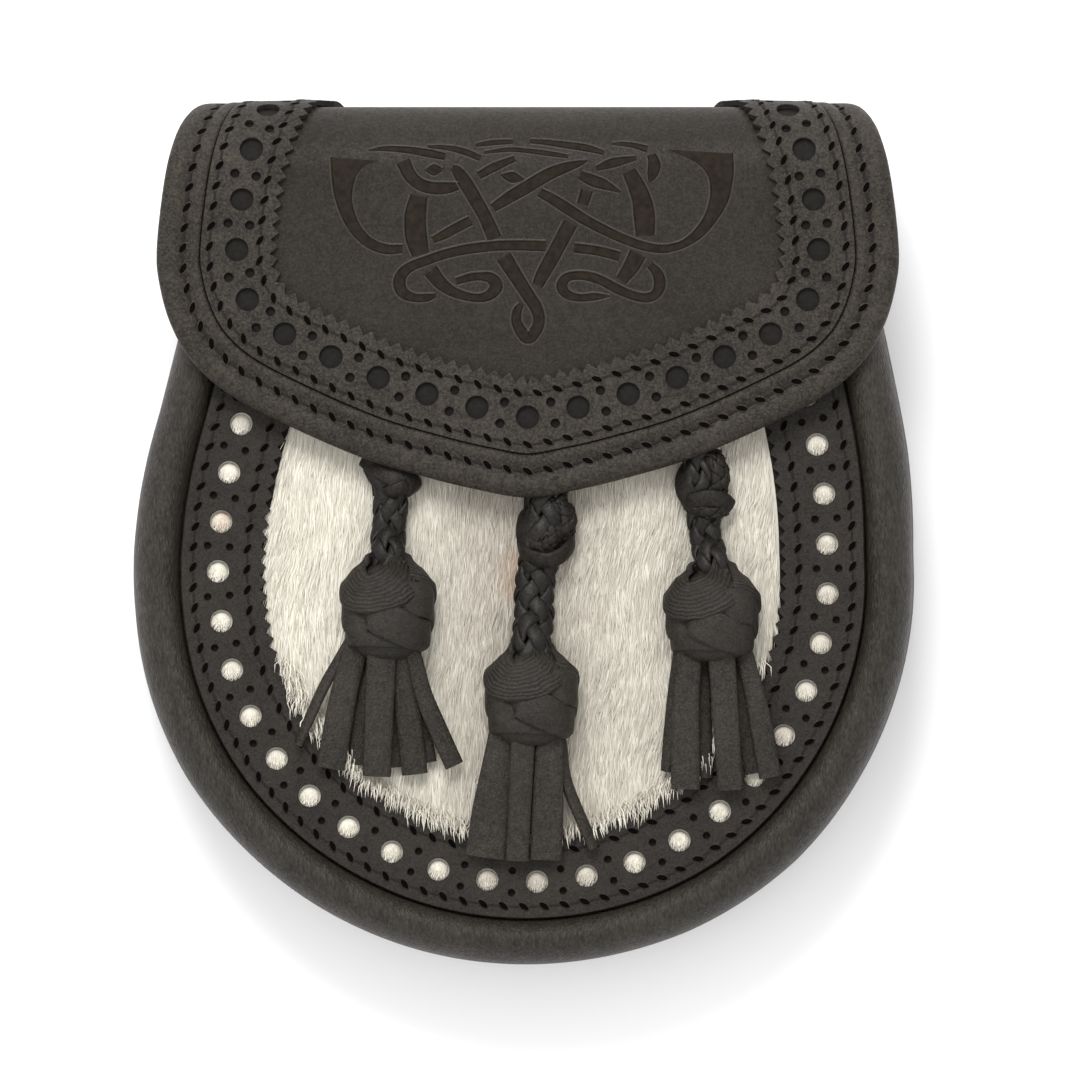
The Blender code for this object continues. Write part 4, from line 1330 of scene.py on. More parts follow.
@dataclass
class Flap:
    """The flap: a smooth sheet, its turned edge, and the brogued band with its seams and a dark sheet of painted
    shade under its holes.
    """

    form: FlapForm
    leather: float = 2.0 * MM
    sheet_inset: float = 3.1 * MM
    band_outer: float = 10.75 * MM
    band_inner: float = 29.6 * MM
    band_rise: float = 0.3 * MM
    band_leather: float = 1.4 * MM
    brogue_end: float = 116.0 * MM
    backing: float = 0.26 * MM
    backing_width: float = 11.0 * MM
    tooth_pitch: float = 3.5 * MM
    tooth_depth: float = 1.9 * MM
    hole_inset: float = 19.6 * MM
    brogueing: Brogueing = Brogueing(12.6 * MM, 0.0, 2.85 * MM, 1.15 * MM, 5.3 * MM)
    rim_seam: float = 6.4 * MM
    pucker_step: float = 5.0 * MM  # the stitches' pitch, but measured along the edge
    pucker_reach: float = 1.3 * MM
    pucker_depth: float = 0.22 * MM
    seam_beyond: float = 20.0 * MM
    band_seams: tuple[float, float] = (12.9 * MM, 25.1 * MM)
    rim_section: Table = (
        (10.55, 0.05), (10.6, 0.8), (10.3, 1.4), (9.5, 1.7), (8.4, 1.75), (7.4, 1.4), (6.4, 1.24), (5.4, 1.4),
        (4.2, 1.85), (2.7, 1.9), (1.3, 1.55), (0.35, 0.75), (0.0, -0.2), (0.3, -1.25), (1.1, -1.9), (2.1, -2.05),
        (2.95, -2.0), (3.0, -0.9), (3.0, 0.02), (4.0, 0.05), (7.0, 0.05),
    )  # distance in from the edge and height over the outer face, in mm

    def make_sheet(self) -> Object:
        """The smooth leather sheet."""
        mesh = cut_leather([moved_in(self.form.edge(2.0 * MM), self.sheet_inset)], 0.0, self.leather)
        self.form.fold_mesh(mesh, -self.leather)
        piece = show("flap_sheet", mesh, [FLAP_LEATHER, CUT_EDGE], ["flap"], CUT_CREASE)
        return piece

    def make_rim(self) -> Object:
        """The turned edge, puckered by its seam."""
        edge = self.form.edge(0.9 * MM)
        section = ring_through(np.array(self.rim_section), 2) * MM
        travelled = length_along(edge)
        pucker = 0.5 + 0.5 * np.cos(travelled / self.pucker_step * math.tau)
        rows = []
        for inset, height in section:
            near = math.exp(-(((inset - self.rim_seam) / self.pucker_reach) ** 2)) if height > 0.5 * MM else 0.0
            flat = moved_in(edge, inset)
            rows.append(self.form.on_sheet(flat, height - self.pucker_depth * near * pucker))
        rim = loft("rim", np.transpose(rows, (1, 0, 2)))
        return show("flap_edge", rim, [BAND_LEATHER], ["flap_rim"], SOFT_CREASE)

    def make_band(self) -> Object:
        """The brogued band."""
        edge = self.form.edge()
        inner = toothed(moved_in(edge, self.band_inner), self.tooth_pitch, self.tooth_depth, self.brogue_end)
        cuts = self.brogueing.outlines(moved_in(edge, self.hole_inset), self.brogue_end)
        outer = moved_in(self.form.edge(1.5 * MM), self.band_outer)
        mesh = cut_leather([np.vstack([outer, inner[::-1]]), *cuts], 0.0, self.band_leather, 0.1 * MM)
        self.form.fold_mesh(mesh, self.band_rise)
        return show("flap_band_cut", mesh, [BAND_LEATHER, CUT_EDGE], ["flap_band"], CUT_CREASE)

    def make_backing(self) -> Object:
        """A thin dark sheet under the band: painted shade, which shows in its holes."""
        edge = self.form.edge(2.0 * MM)
        band = [moved_in(edge, self.hole_inset + way * self.backing_width / 2) for way in (-1, 1)]
        mesh = cut_leather([np.vstack([band[0], band[1][::-1]])], 0.0, self.backing, 0.05 * MM)
        self.form.fold_mesh(mesh, 0.02 * MM)
        return show("band_backing", mesh, [PAINTED_SHADE, PAINTED_SHADE], crease=CUT_CREASE)

    def seam(self, inset: float, height: float) -> tuple[Array, Array]:
        """A sewn row: its path on the flap and the direction away from the leather."""
        flat = moved_in(self.form.edge(), inset)
        flat = flat[flat[:, 1] < self.brogue_end + self.seam_beyond]
        path = self.form.on_sheet(flat, height)
        up = self.form.on_sheet(flat, height + MM) - path
        return path, up / MM

    def make(self) -> list[Object]:
        """All the flap's leather, the painted shade under the band, and its seams."""
        pieces = [self.make_sheet(), self.make_rim(), self.make_band(), self.make_backing()]
        top = self.band_rise + self.band_leather
        rows = [self.seam(self.rim_seam, 1.34 * MM), *(self.seam(inset, top) for inset in self.band_seams)]
        return pieces + sew("flap_seams", rows, BAND_LEATHER)


@dataclass(frozen=True)
class Knotwork:
    """The scorched interlace on the flap: ribbons that stop short where another crosses over them.

    Each ribbon is its middle line with its width, and each horn its outer and its inner edge, in the
    photograph's pixels.
    """

    form: FlapForm
    picture: Picture
    level: float = 50.5 * MM
    floor: float = 0.05 * MM
    burnt: float = 0.42 * MM
    lip: Table = ((-0.05, 0.03), (0.05, 0.10), (0.24, 0.11), (0.46, 0.0))
    horns: tuple[Table, ...] = (
        (
            (330.0, 157.0, 378.8, 160.8), (330.8, 166.5, 366.0, 165.5), (331.6, 178.0, 356.8, 175.0),
            (333.8, 194.0, 352.6, 190.5), (337.8, 208.0, 352.6, 204.0), (343.5, 221.5, 357.4, 219.5),
            (352.5, 235.0, 366.0, 233.0), (366.5, 247.5, 377.0, 241.0), (385.0, 254.3, 389.0, 244.6),
            (402.3, 253.2, 402.5, 244.8),
        ),
        (
            (669.0, 252.8, 669.0, 244.4), (686.0, 247.4, 681.5, 240.6), (704.0, 235.8, 694.0, 230.5),
            (719.0, 217.8, 704.0, 216.0), (728.0, 202.0, 709.2, 201.0), (731.8, 188.0, 710.2, 188.0),
            (733.6, 175.0, 707.0, 174.0), (733.8, 164.0, 694.0, 161.5), (733.2, 153.4, 667.0, 149.4),
        ),
    )
    ribbons: tuple[Table, ...] = (
        ((419, 196.1, 17.5), (415.6, 213, 21.3), (415.3, 228, 21.9), (416.9, 240.5, 21.3), (420.6, 254.3, 17.5)),
        (
            (430.6, 270.5, 15.5), (441, 283.5, 13), (455, 292.8, 10), (475, 298, 8.3), (489, 295.5, 10.5),
            (496.5, 286, 13), (490.5, 278, 11), (480, 276.5, 8.3), (470, 277.5, 8), (456, 281.5, 7),
        ),
        (
            (436, 295.5, 4), (427, 297.8, 8), (415, 298, 8.5), (404.5, 294, 11), (399.5, 285.5, 12.5),
            (401.5, 275, 11.5), (410.5, 267, 10), (426, 260.8, 9.5), (445, 254.3, 9.5), (467.5, 249.3, 10),
            (495, 246.1, 10), (520, 245.5, 10.3), (546, 246.3, 10.5),
        ),
        ((574, 248, 9.5), (597.5, 251, 9.5), (619.5, 256.5, 9.5)),
        (
            (452, 168, 6), (457, 171, 11), (466, 184, 14), (474.4, 198, 13.8), (485, 216.8, 13.3),
            (494.8, 238.6, 14.5),
        ),
        (
            (503.8, 256.8, 16), (516.3, 276.8, 14), (527.5, 294.3, 13), (536.9, 309.3, 12.5), (539, 323, 11.5),
            (533.5, 334, 12), (527.5, 337.8, 13), (520.5, 330.5, 11.5), (516.3, 320.5, 10), (517.5, 310.5, 9),
            (521.9, 304.3, 5.5),
        ),
        ((433, 240, 7), (445, 234.3, 9.3), (457.5, 227.4, 10), (470.6, 220.8, 9.8)),
        (
            (493.1, 208, 9), (510, 197, 12), (528.8, 186.1, 13), (547.5, 174.9, 12.5), (562.5, 168.6, 11),
            (576.3, 164.3, 7.5), (587.5, 160.8, 2),
        ),
        (
            (539.8, 192.4, 9), (551.3, 198.6, 10.6), (566.3, 208, 11.3), (585, 219.9, 10.6), (603.8, 229.9, 10),
            (622.5, 238.6, 9.4), (641.3, 245.5, 9), (657.5, 248.8, 8.6), (669, 248.6, 8.4),
        ),
        ((586.9, 190.5, 12.5), (582.5, 204.3, 11.5)),
        ((570.6, 223, 15), (560, 243, 14.5), (551.3, 259.3, 14.5), (543, 274, 13.5), (537.5, 285.5, 11)),
        (
            (628.8, 171.1, 13.8), (636.3, 185.5, 17), (641.9, 200.5, 19.4), (644.4, 215.5, 21.3),
            (645.3, 235.5, 18.8),
        ),
        ((638.1, 253.6, 17.5), (631.3, 266.8, 16), (621.3, 280.5, 12)),
        (
            (650, 264.9, 7.5), (657.5, 273.6, 10.6), (660, 284.3, 11.9), (655.6, 294.3, 10), (646.3, 298, 9.4),
            (632.5, 295.5, 9), (616.3, 288.6, 9.4), (602.5, 281.1, 9.4), (590, 276.8, 9.4), (577.5, 275.5, 8.8),
            (566.3, 278, 9.4), (561.9, 286.1, 11.3), (566.9, 294.3, 9.4), (580, 298, 7.5), (595, 296.8, 7.5),
            (610, 296.4, 1.5),
        ),
        (
            (403, 161, 14.4), (410, 175.5, 13), (420, 184.3, 12.5), (432.5, 188, 12.5), (446.3, 188, 11.9),
            (458.8, 186.1, 7.5),
        ),
        ((425, 170.3, 1.5), (433.8, 169.9, 12), (443, 169.5, 2.5)),
        ((478.8, 175.6, 8), (495, 166.8, 9), (515, 158.5, 6)),
        ((500.6, 175, 1.5), (512.5, 177.4, 11.5), (524, 179.5, 2)),
        ((580, 174.9, 8.8), (592.5, 180.5, 11.9), (605, 184.9, 10), (620, 191.8, 2.5)),
        ((651.3, 154.3, 8.8), (654.4, 164.3, 12.5), (652.5, 174.3, 10.6), (650, 181.8, 3)),
        ((596.3, 168.6, 5), (612.5, 163, 10), (636.3, 158, 5)),
        ((368.8, 150.3, 2), (385, 148.6, 5.6), (407.5, 149.9, 7.5), (427.5, 153, 8.8), (445, 156.5, 7.5)),
        ((427.5, 146.4, 3), (446.3, 147.6, 5.5), (463.8, 151.4, 7), (480, 158, 6.5)),
        ((476, 145.1, 4), (492.5, 142.6, 6.4), (513, 141.4, 5)),
        ((530, 141.0, 5), (545, 142, 6.4), (562, 144.3, 7.4), (585, 147.6, 8), (604, 152.6, 5)),
        ((484, 152.6, 3), (507.5, 149.6, 5), (522.5, 150.2, 5), (547.5, 153.3, 5.5), (568, 156.5, 4)),
        ((611.3, 143.8, 2.5), (622.5, 143.8, 5), (636, 145.8, 6.4), (647, 149, 7.5)),
    )

    def on_flat(self, spots: Array) -> Array:
        """Points of the photograph, by column and row, laid on the flat sheet."""
        found = np.array([self.picture.at(x, y, self.level) for x, y in spots])
        front, over, _, _ = self.form.parts()
        ups = np.linspace(0.0, front + 0.9 * (over - front), 400)
        rises = self.form.on_sheet(np.column_stack([np.zeros_like(ups), ups]), 0.0)[:, 1]
        return np.column_stack([found[:, 0] - self.form.aside, np.interp(found[:, 1], rises, ups)])

    def ribbon_edges(self, ribbon: Table) -> tuple[Array, Array]:
        """The two edges of a ribbon on the flat sheet."""
        table = np.array(ribbon, float)
        widths = table[:, 2] * self.picture.field / self.picture.side
        smooth = evenly(curve_through(raised(self.on_flat(table[:, :2]), widths), 8), 0.6 * MM)
        return moved_in(smooth[:, :2], -smooth[:, 2] / 2), moved_in(smooth[:, :2], smooth[:, 2] / 2)

    def horn_edges(self, horn: Table) -> tuple[Array, Array]:
        """The two edges of a horn on the flat sheet."""
        table = np.array(horn, float)
        edges = np.hstack([self.on_flat(table[:, :2]), self.on_flat(table[:, 2:])])
        smooth = evenly(curve_through(edges, 8), 0.9 * MM)
        return smooth[:, :2], smooth[:, 2:]

    def make(self) -> list[Object]:
        """The ribbons' scorched floors, and the thin raised ridges along them, coloured lighter than the flap as a
        painted highlight.
        """
        floors, ridges = [], []
        for first, second in [*map(self.horn_edges, self.horns), *map(self.ribbon_edges, self.ribbons)]:
            width = np.linalg.norm(second - first, axis=1)[:, None]
            inward = (second - first) / width
            rim = np.minimum(self.burnt, 0.25 * width)
            columns = [(line, self.floor) for line in (first, first + inward * rim, second - inward * rim, second)]
            floor = self.draped(columns)
            floor.polygons.foreach_set("material_index", np.repeat((1, 0, 1), len(first) - 1).astype(np.int32))
            floors.append(floor)
            for line, outward in ((first, -inward), (second, inward)):
                ridges.append(self.draped([(line + outward * out * MM, rise * MM) for out, rise in self.lip]))
        return [
            show("scorched_ribbons", joined("ribbons", floors), [SCORCH, BURNT_EDGE]),
            show("ribbon_ridges", joined("ridges", ridges), [RIDGE], crease=80.0),
        ]

    def draped(self, lines: Sequence[tuple[Array, float]]) -> Mesh:
        """A skin over flat lines at their heights, laid on the flap with its faces outward."""
        rows = [self.form.on_sheet(line, height) for line, height in lines]
        across, along = rows[-1][0] - rows[0][0], rows[0][1] - rows[0][0]
        faces = grid_faces(len(rows), len(rows[0]))
        if np.cross(along, across)[2] < 0:
            faces = [face[::-1] for face in faces]
        return raw_mesh("draped", np.vstack(rows), faces)


# ---------------------------------------------------------------- the tassels


def frames(path: Array, outward: Array) -> tuple[Array, Array, Array]:
    """The directions of a path at its points.

    Args:
        path: the path.
        outward: roughly away from what it lies on, one direction or one for each point.

    Returns:
        The unit directions along it, to its side, and outward.
    """
    along = unit(np.gradient(path, axis=0))
    out = np.broadcast_to(outward, path.shape)
    out = unit(out - (out * along).sum(axis=1)[:, None] * along)
    return along, np.cross(along, out), out


def strap(
    path: Array, outward: Array, width: Array | float, thickness: float, crown: float, sides: int = 12
) -> Array:
    """A flat strap with rounded edges along a path.

    Args:
        path: its middle line.
        outward: the direction that its face looks in.
        width: its width, one for all or one for each point.
        thickness: its thickness.
        crown: how far its edges lie under its middle.
        sides: points in a section.

    Returns:
        The sections, as (points, sides, 3).
    """
    _, side, out = frames(path, outward)
    turn = full_turn(sides) + math.pi / sides
    x, z = blunt(np.cos(turn), 0.45), blunt(np.sin(turn), 0.8)
    half = np.broadcast_to(width, len(path))[:, None, None] / 2
    lower = thickness / 2 * z - crown * x**2
    return path[:, None, :] + side[:, None, :] * half * x[None, :, None] + out[:, None, :] * lower[None, :, None]


@dataclass(frozen=True)
class Braid:
    """Flat laces, as many each way round, each over one and under the next."""

    half_width: float = 4.6 * MM
    flatten: float = 0.74
    lace: float = 3.5 * MM
    lace_thickness: float = 1.1 * MM
    turn_length: float = 32.0 * MM
    over: float = 0.55 * MM
    crown: float = 0.4 * MM
    each_way: int = 4

    def laces(self, path: Array, outward: Array, turned: float = 0.0) -> list[Array]:
        """The laces along a path.

        Args:
            path: the braid's middle line.
            outward: away from what it lies on, one direction or one for each point.
            turned: how far the crossings are turned about the path, in radians.

        Returns:
            The sections of each lace.
        """
        whole = evenly(np.hstack([path, np.broadcast_to(outward, path.shape) * TINY]), 0.7 * MM)
        path, outward = whole[:, :3], whole[:, 3:]
        travelled = length_along(path)
        _, side, out = frames(path, outward)
        base_x = self.half_width - self.over - self.lace_thickness / 2
        base_z = self.half_width * self.flatten - self.over - self.lace_thickness / 2
        laces = []
        for way in (1, -1):
            for index in range(self.each_way):
                angle = way * math.tau * travelled / self.turn_length + index * math.tau / self.each_way + turned
                lift = -way * self.over * np.cos(self.each_way * (angle - turned))
                across, deep = np.cos(angle), np.sin(angle)
                line = path + side * (across * (base_x + lift))[:, None] + out * (deep * (base_z + lift))[:, None]
                normal = side * (across / base_x)[:, None] + out * (deep / base_z)[:, None]
                laces.append(strap(line, normal, self.lace, self.lace_thickness, self.crown))
        return laces


@dataclass(frozen=True)
class Band:
    """One strap of a head: its width in mm, and where it runs round half of the head."""

    width: float
    places: Table  # angle in degrees, distance down and rise over the core in mm


@dataclass(frozen=True)
class HeadWeave:
    """A tassel's head: four wide straps that cross over and under each other, twice round."""

    length: float = 19.5 * MM
    strap_thickness: float = 1.9 * MM
    flatten: float = 0.70
    drawn: float = 19.5  # the length that the tables are drawn for, in mm
    relief: float = 1.35  # how much higher the straps rise than in the tables
    clear: float = 0.6 * MM  # from the core to the middle of a strap that has no rise
    creased: Band = Band(9.6, (
        (5.0, 0.2, 1.0), (28.0, -1.4, -0.9), (50.0, -0.4, -0.6), (70.0, 2.2, 1.1), (90.0, 4.9, 1.8),
        (108.0, 6.0, 1.9), (128.0, 5.8, 1.9), (152.0, 3.4, 1.5),
    ))
    facet: Band = Band(8.8, (
        (5.0, 8.8, 0.8), (28.0, 7.7, 1.2), (55.0, 7.4, 1.3), (80.0, 8.6, 0.5), (102.0, 10.8, -1.0),
        (130.0, 13.0, 0.2), (156.0, 11.6, 0.8),
    ))
    lower: Band = Band(8.2, (
        (5.0, 15.4, 0.3), (30.0, 16.2, 0.6), (60.0, 15.2, 1.2), (88.0, 12.8, 1.7), (112.0, 10.6, 1.0),
        (138.0, 11.4, -1.0), (165.0, 14.6, -0.6),
    ))
    collar: Band = Band(4.0, ((0.0, 17.2, 0.1), (60.0, 17.4, 0.0), (120.0, 17.0, 0.2)))
    profile: Table = (
        (-1.5, 3.4), (0.0, 6.2), (1.4, 7.6), (4.5, 8.5), (8.5, 8.9), (12.5, 8.8), (16.0, 8.6), (19.0, 8.2),
        (20.5, 7.2), (22.0, 5.0),
    )  # distance down from the top and half width of the core, in mm

    def sized(self) -> Array:
        """The core's profile at the head's own length, in metres."""
        return np.array(self.profile) * (self.length / self.drawn, MM)

    def core(self, top: Array) -> Array:
        """The core's surface, closed at both ends, as rows of points."""
        turn = full_turn(40)
        x, z = np.cos(turn), self.flatten * np.sin(turn)
        rows = [np.stack([r * x, np.full(len(turn), -d), r * z], axis=1) for d, r in self.sized()]
        return np.array(rows) + top

    def wrapped(self, band: Band, top: Array, phase: float) -> tuple[Array, Array]:
        """One strap round the head.

        Args:
            band: the strap.
            top: the middle of the head's top.
            phase: how far it is turned about the head, in radians.

        Returns:
            The strap's sections, and each point's distance across it.
        """
        half = np.array(band.places)
        turns = np.vstack([half + (180.0 * k, 0.0, 0.0) for k in range(-2, 5)])
        smooth = curve_through(turns, 8)
        angle = full_turn(160)
        degrees = np.degrees(angle)
        down = np.interp(degrees, smooth[:, 0], smooth[:, 1]) * self.length / self.drawn
        rise = np.interp(degrees, smooth[:, 0], smooth[:, 2]) * self.relief * MM
        depths, radii = self.sized().T
        rim = full_turn(16) + math.pi / 16
        across = blunt(np.cos(rim), 0.4) * band.width / 2 * MM
        thick = blunt(np.sin(rim), 0.7) * self.strap_thickness / 2
        run = np.interp(down, depths, radii)
        slope = np.gradient(np.concatenate([down[-2:], down, down[:2]]), angle[1])[2:-2]
        slant = unit(np.stack([run, slope], axis=1))
        rows = []
        for k in range(len(angle)):
            theta = angle[k] + phase - across * slant[k, 1] / run[k]
            low = down[k] + across * slant[k, 0]
            r = np.interp(low, depths, radii) + rise[k] + thick + self.clear
            rows.append(np.stack([r * np.cos(theta), -low, self.flatten * r * np.sin(theta)], axis=1))
        return np.array(rows) + top, np.tile(across, len(angle))

    def make(self, top: Array, phase: float) -> Mesh:
        """The head's mesh; its creased strap has material 1."""
        meshes, across = [], []
        for band in (self.creased, self.facet, self.lower, self.collar):
            rows, places = self.wrapped(band, top, phase)
            faces = grid_faces(*rows.shape[:2], loop_rows=True, loop_columns=True)
            meshes.append(turn_outward(raw_mesh("strap", rows.reshape(-1, 3), faces)))
            across.append(places)
        meshes[0].polygons.foreach_set("material_index", np.ones(len(meshes[0].polygons), np.int32))
        core = loft("core", self.core(top))
        across.append(np.zeros(len(core.vertices)))
        mesh = joined("head", [*meshes, core])
        values = np.concatenate(across).astype(np.float32)
        mesh.attributes.new("across", "FLOAT", "POINT").data.foreach_set("value", values)
        return mesh


@dataclass(frozen=True)
class Wrap:
    """One strap of a knot, flat or braided: its width and its middle line, with heights over the hide, in mm."""

    width: float
    line: Table
    braided: bool = False


@dataclass(frozen=True)
class Strip:
    """One strip of a skirt: where it ends, how high its ends lie, and how it bows."""

    tip: tuple[float, float]
    root: float
    width: float = 6.8
    rise: float = 3.6
    layer: float = 3.4
    bow: float = 0.0
    roll: float = 0.0
    top: float = 0.85


@dataclass
class Tassel:
    """A tassel: its braided stem with a knot, a woven head, and a skirt of strips. Tables are in mm."""

    name: str
    head: tuple[float, float]
    stem: Table
    wraps: tuple[Wrap, ...]
    strips: tuple[Strip, ...]
    twist: float = 0.0  # of the braid and of the head, in radians and in degrees
    turned: float = 0.0
    hide_z: float = 41.3
    head_z: float = 49.26
    bed_z: float = 43.5
    overlap: float = 3.6
    aside: float = 0.6 * MM
    braid: Braid = Braid()
    weave: HeadWeave = HeadWeave()

    def make_stem(self) -> Object:
        """The braided stem with its knot."""
        route = [(x, y, self.hide_z + z) for x, y, z in self.stem]
        route += [(self.head[0], self.head[1] + 4.0, self.head_z), (self.head[0], self.head[1] - 3.0, self.head_z)]
        path = curve_through(np.array(route) * MM, 6)
        bundles = self.braid.laces(path, np.array(UP), self.twist)
        mesh = joined("stem", [loft("lace", rows) for rows in bundles])
        return show("braid_" + self.name, mesh, [BRAID_LEATHER], ["stem_" + self.name], 60.0)

    def make_knot(self) -> Object:
        """The knot: flat straps and braided ones, wound over each other."""
        lines = [np.array(wrap.line) + (0.0, 0.0, self.hide_z) for wrap in self.wraps]
        centre = np.vstack(lines).mean(axis=0) * MM - (0.0, 0.0, 2.5 * MM)
        meshes = []
        for wrap, line in zip(self.wraps, lines):
            path = evenly(curve_through(line * MM, 8), 0.6 * MM)
            outward = (path - centre) * (1.0, 0.8, 1.0) + (0.0, 0.0, 2.0 * MM)
            wide = wrap.width * MM
            if wrap.braided:
                winding = Braid(wide / 2, 0.7, 0.46 * wide, 0.9 * MM, 2.5 * wide, 0.36 * MM, 0.2 * MM, each_way=3)
                meshes += [loft("wrap", rows) for rows in winding.laces(path, outward)]
            else:
                meshes.append(loft("wrap", strap(path, outward, wide, 1.4 * MM, 0.3 * MM, 14)))
        return show("knot_" + self.name, joined("knot", meshes), [KNOT_LEATHER], crease=SOFT_CREASE)

    def make_head(self) -> Object:
        """The woven head over its core."""
        top = np.array((*self.head, self.head_z)) * MM
        mesh = self.weave.make(top, math.radians(self.turned))
        return show("head_" + self.name, mesh, [HEAD_LEATHER, CREASED_LEATHER], ["tassel_" + self.name], 60.0)

    def make_skirt(self) -> Object:
        """The strips, each bowed a little in its own way."""
        meshes = []
        for index, strip in enumerate(self.strips):
            under = self.head[1] - self.weave.length / MM + self.overlap
            start = np.array((self.head[0] + strip.root, under, self.head_z + strip.layer))
            tip = np.array((*strip.tip, self.bed_z + strip.rise))
            middle = (start + tip) / 2 + (strip.bow, 0.0, 0.9)
            near_top = start + (tip - start) * 0.22 + (strip.bow * 0.5, 0.0, 0.5)
            path = evenly(curve_through(np.array((start, near_top, middle, tip)) * MM, 8), 1.2 * MM)
            share = np.linspace(0.0, 1.0, len(path))
            tilt = math.radians(strip.roll) * share
            outward = np.stack([np.sin(tilt), np.zeros(len(path)), np.cos(tilt)], axis=1)
            narrow = strip.top + (1.0 - strip.top) * np.minimum(1.0, share * 1.5)
            rows = strap(path, outward, strip.width * MM * narrow, 1.4 * MM, 0.25 * MM, 14)
            meshes.append(loft(f"strip_{index}", rows))
        return show("skirt_" + self.name, joined("skirt", meshes), [STRIP_LEATHER], crease=SOFT_CREASE)

    def make(self) -> list[Object]:
        """The whole tassel."""
        pieces = [self.make_stem(), self.make_knot(), self.make_head(), self.make_skirt()]
        for piece in pieces:
            set_points(piece.data, points_of(piece.data) + (self.aside, 0.0, 0.0))
        return pieces


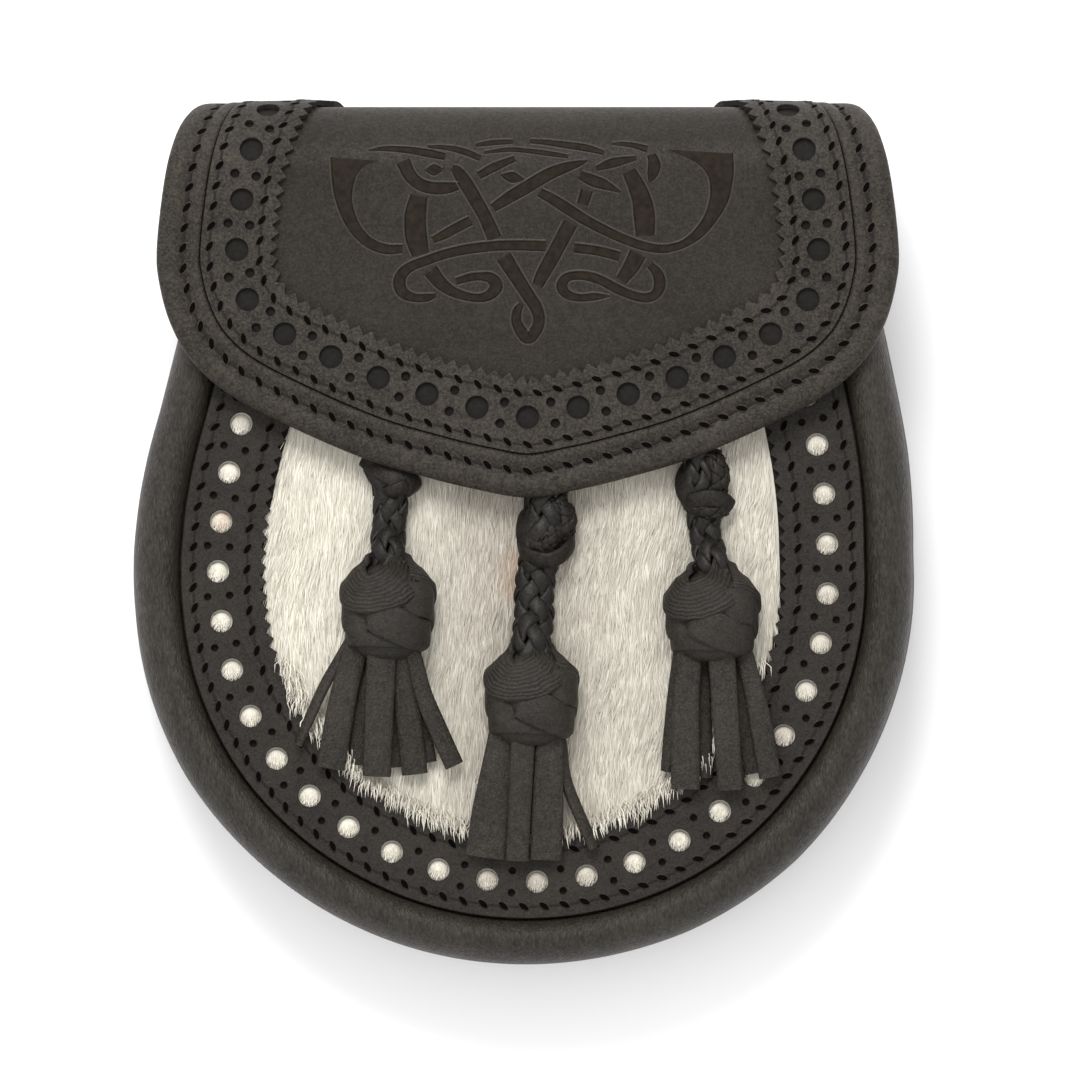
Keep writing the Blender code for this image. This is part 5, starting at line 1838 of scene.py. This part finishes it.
def three_tassels() -> list[Tassel]:
    """The tassels as they lie on the hide."""
    left_strips = (
        Strip((-41.2, -57.0), -4.6, 4.6, 1.0, -2.4),
        Strip((-31.5, -57.6), -1.0, 6.0, 1.0, -2.6),
        Strip((-24.0, -56.5), 4.0, 5.0, 1.0, -2.6),
        Strip((-55.6, -52.0), -8.4, 3.0, 2.6, -0.6, -0.8, -62.0),
        Strip((-47.5, -57.9), -7.0, 7.0, 3.3, 0.2, -0.6, 0.0, 0.86),
        Strip((-36.2, -59.8), -1.3, 7.0, 3.9, 3.2, 0.0, 0.0, 1.05),
        Strip((-26.9, -59.3), 2.6, 6.4, 2.2, 1.6, 0.0, 0.0, 0.8),
        Strip((-17.2, -57.2), 5.0, 4.7, 3.7, 2.2, -1.4, 10.0, 0.8),
    )
    centre_strips = (
        Strip((-6.0, -77.5), -4.0, 6.4, 1.0, -2.6),
        Strip((2.4, -78.0), 0.5, 6.4, 1.0, -2.6),
        Strip((17.0, -77.3), 6.6, 3.2, 2.6, -1.4, -2.2, 50.0),
        Strip((-9.7, -79.6), -6.6, 9.8, 3.2, 0.4, 0.0, 0.0, 0.64),
        Strip((-1.9, -80.4), -1.8, 5.7, 3.9, 3.2, 0.0, 0.0, 1.06),
        Strip((5.1, -80.2), 4.6, 7.9, 3.4, 2.2, 0.0, 0.0, 0.84),
    )
    right_strips = (
        Strip((43.4, -60.2), -3.0, 5.0, 1.0, -2.6),
        Strip((51.0, -60.6), 0.5, 6.0, 1.0, -2.6),
        Strip((56.4, -59.0), 4.0, 6.0, 1.0, -2.4),
        Strip((34.2, -58.6), -7.6, 3.4, 2.2, -0.6, -0.2, -55.0),
        Strip((39.2, -62.9), -5.3, 7.2, 3.4, 1.8, -0.6, 0.0, 0.84),
        Strip((50.2, -63.1), 2.0, 6.4, 3.9, 3.2, 0.0, 0.0, 1.06),
        Strip((60.0, -60.0), 6.8, 5.6, 3.3, 0.4, 0.6, 10.0, 0.74),
    )
    left_wraps = (
        Wrap(8.0, ((-34.6, 19.0, 3.2), (-34.2, 14.0, 3.4), (-33.6, 9.0, 3.2))),
        Wrap(4.4, (
            (-38.4, 19.5, 3.6), (-38.0, 15.8, 5.0), (-36.0, 12.6, 6.2), (-33.4, 10.2, 6.6), (-31.6, 8.6, 4.6),
        )),
        Wrap(6.0, (
            (-38.8, 18.5, 3.0), (-35.6, 16.0, 6.6), (-31.8, 13.8, 8.1), (-28.8, 12.0, 7.8), (-26.9, 10.6, 5.9),
            (-28.2, 9.2, 3.8),
        )),
        Wrap(3.8, ((-35.6, 8.8, 4.0), (-32.6, 9.6, 8.0), (-29.6, 10.8, 8.4), (-27.6, 12.6, 6.2))),
    )
    centre_wraps = (
        Wrap(10.5, ((4.6, 8.6, 3.2), (4.8, 2.0, 3.4), (4.6, -6.0, 3.2))),
        Wrap(6.2, (
            (2.8, 6.8, 3.0), (0.6, 4.4, 5.6), (-0.2, 0.4, 6.8), (0.6, -3.2, 7.2), (3.0, -5.6, 7.6),
            (5.2, -6.8, 6.0),
        )),
        Wrap(5.6, (
            (4.8, 8.0, 4.6), (8.0, 6.8, 7.0), (10.4, 4.2, 6.8), (10.2, 0.8, 6.4), (8.0, -1.8, 5.6),
        ), True),
        Wrap(4.4, (
            (-1.4, -2.6, 3.4), (-0.4, -5.2, 6.8), (2.8, -6.9, 9.2), (6.2, -7.2, 9.8), (9.2, -5.8, 8.6),
            (11.3, -3.4, 6.0), (11.5, -0.8, 3.2),
        )),
        Wrap(4.6, ((9.6, 2.6, 4.4), (7.2, 0.6, 8.4), (5.8, -2.4, 9.0), (6.0, -5.4, 7.2)), True),
    )
    right_wraps = (
        Wrap(10.0, ((43.2, 20.0, 3.2), (43.2, 13.0, 3.4), (43.6, 7.0, 3.2))),
        Wrap(5.8, (
            (41.2, 17.8, 3.0), (39.4, 15.2, 5.6), (38.6, 11.8, 6.8), (39.6, 8.8, 7.2), (42.4, 7.0, 7.2),
        )),
        Wrap(5.6, (
            (43.6, 19.8, 4.6), (46.4, 17.4, 7.0), (47.8, 13.6, 6.8), (47.2, 10.4, 6.4), (45.2, 8.2, 5.6),
        ), True),
        Wrap(4.4, ((38.6, 7.2, 4.0), (41.0, 7.4, 8.2), (45.0, 8.0, 9.6), (48.4, 7.4, 8.4), (50.2, 5.8, 5.2))),
        Wrap(4.0, ((39.8, 5.8, 4.4), (42.6, 5.0, 7.6), (46.2, 4.4, 8.0), (49.2, 5.4, 5.8)), True),
    )
    left_stem = ((-32.0, 22.0, 3.8), (-32.6, 13.0, 4.4), (-32.9, 5.0, 4.2), (-33.4, -1.0, 4.6))
    centre_stem = (
        (6.2, 15.5, 3.8), (5.4, 6.0, 6.0), (4.6, -1.0, 6.6), (3.2, -8.0, 4.6), (2.3, -14.0, 4.2), (2.2, -21.0, 5.2),
    )
    right_stem = ((42.6, 26.5, 3.8), (42.8, 14.0, 6.2), (43.4, 5.0, 4.8), (44.4, -3.0, 4.6))
    return [
        Tassel("left", (-33.4, -9.2), left_stem, left_wraps, left_strips, braid=Braid(half_width=4.5 * MM)),
        Tassel(
            "centre", (1.6, -30.8), centre_stem, centre_wraps, centre_strips, -math.pi / 8, -6.0,
            braid=Braid(half_width=5.1 * MM, lace=3.9 * MM), weave=HeadWeave(length=19.0 * MM),
        ),
        Tassel(
            "right", (45.7, -11.4), right_stem, right_wraps, right_strips, 0.0, 6.0,
            braid=Braid(half_width=4.3 * MM, lace=3.3 * MM), weave=HeadWeave(length=18.0 * MM),
        ),
    ]


def keep_solids() -> list[Object]:
    """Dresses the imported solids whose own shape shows."""
    kept = []
    solids = {"belt_loop_left": BACK_LEATHER, "belt_loop_right": BACK_LEATHER, "closure_stud": STEEL}
    for name, finish in solids.items():
        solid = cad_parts[name]
        solid.data.materials.clear()
        solid.data.materials.append(finish.material())
        kept.append(solid)
    return kept


def main() -> None:
    """Builds the pouch and its picture, piece by piece."""
    logging.basicConfig(level=logging.INFO, format="%(name)s: %(message)s")
    Picture().make_camera()
    studio = Studio()
    studio.make_floor()
    studio.make_light()
    outline = BodyOutline()
    ring = FrontRing(outline)
    form = FlapForm()
    body = (GussetShell(outline), BackWall(outline), ring, HideFront(outline, ring))
    builders = (*body, Flap(form), Knotwork(form, Picture()), *three_tassels())
    for builder in builders:
        for piece in builder.make():
            log.info("%s: %s, %d faces", type(builder).__name__, piece.name, len(piece.data.polygons))
    for solid in keep_solids():
        log.info("packed solid kept: %s", solid.name)


if __name__ == "__main__":
    main()
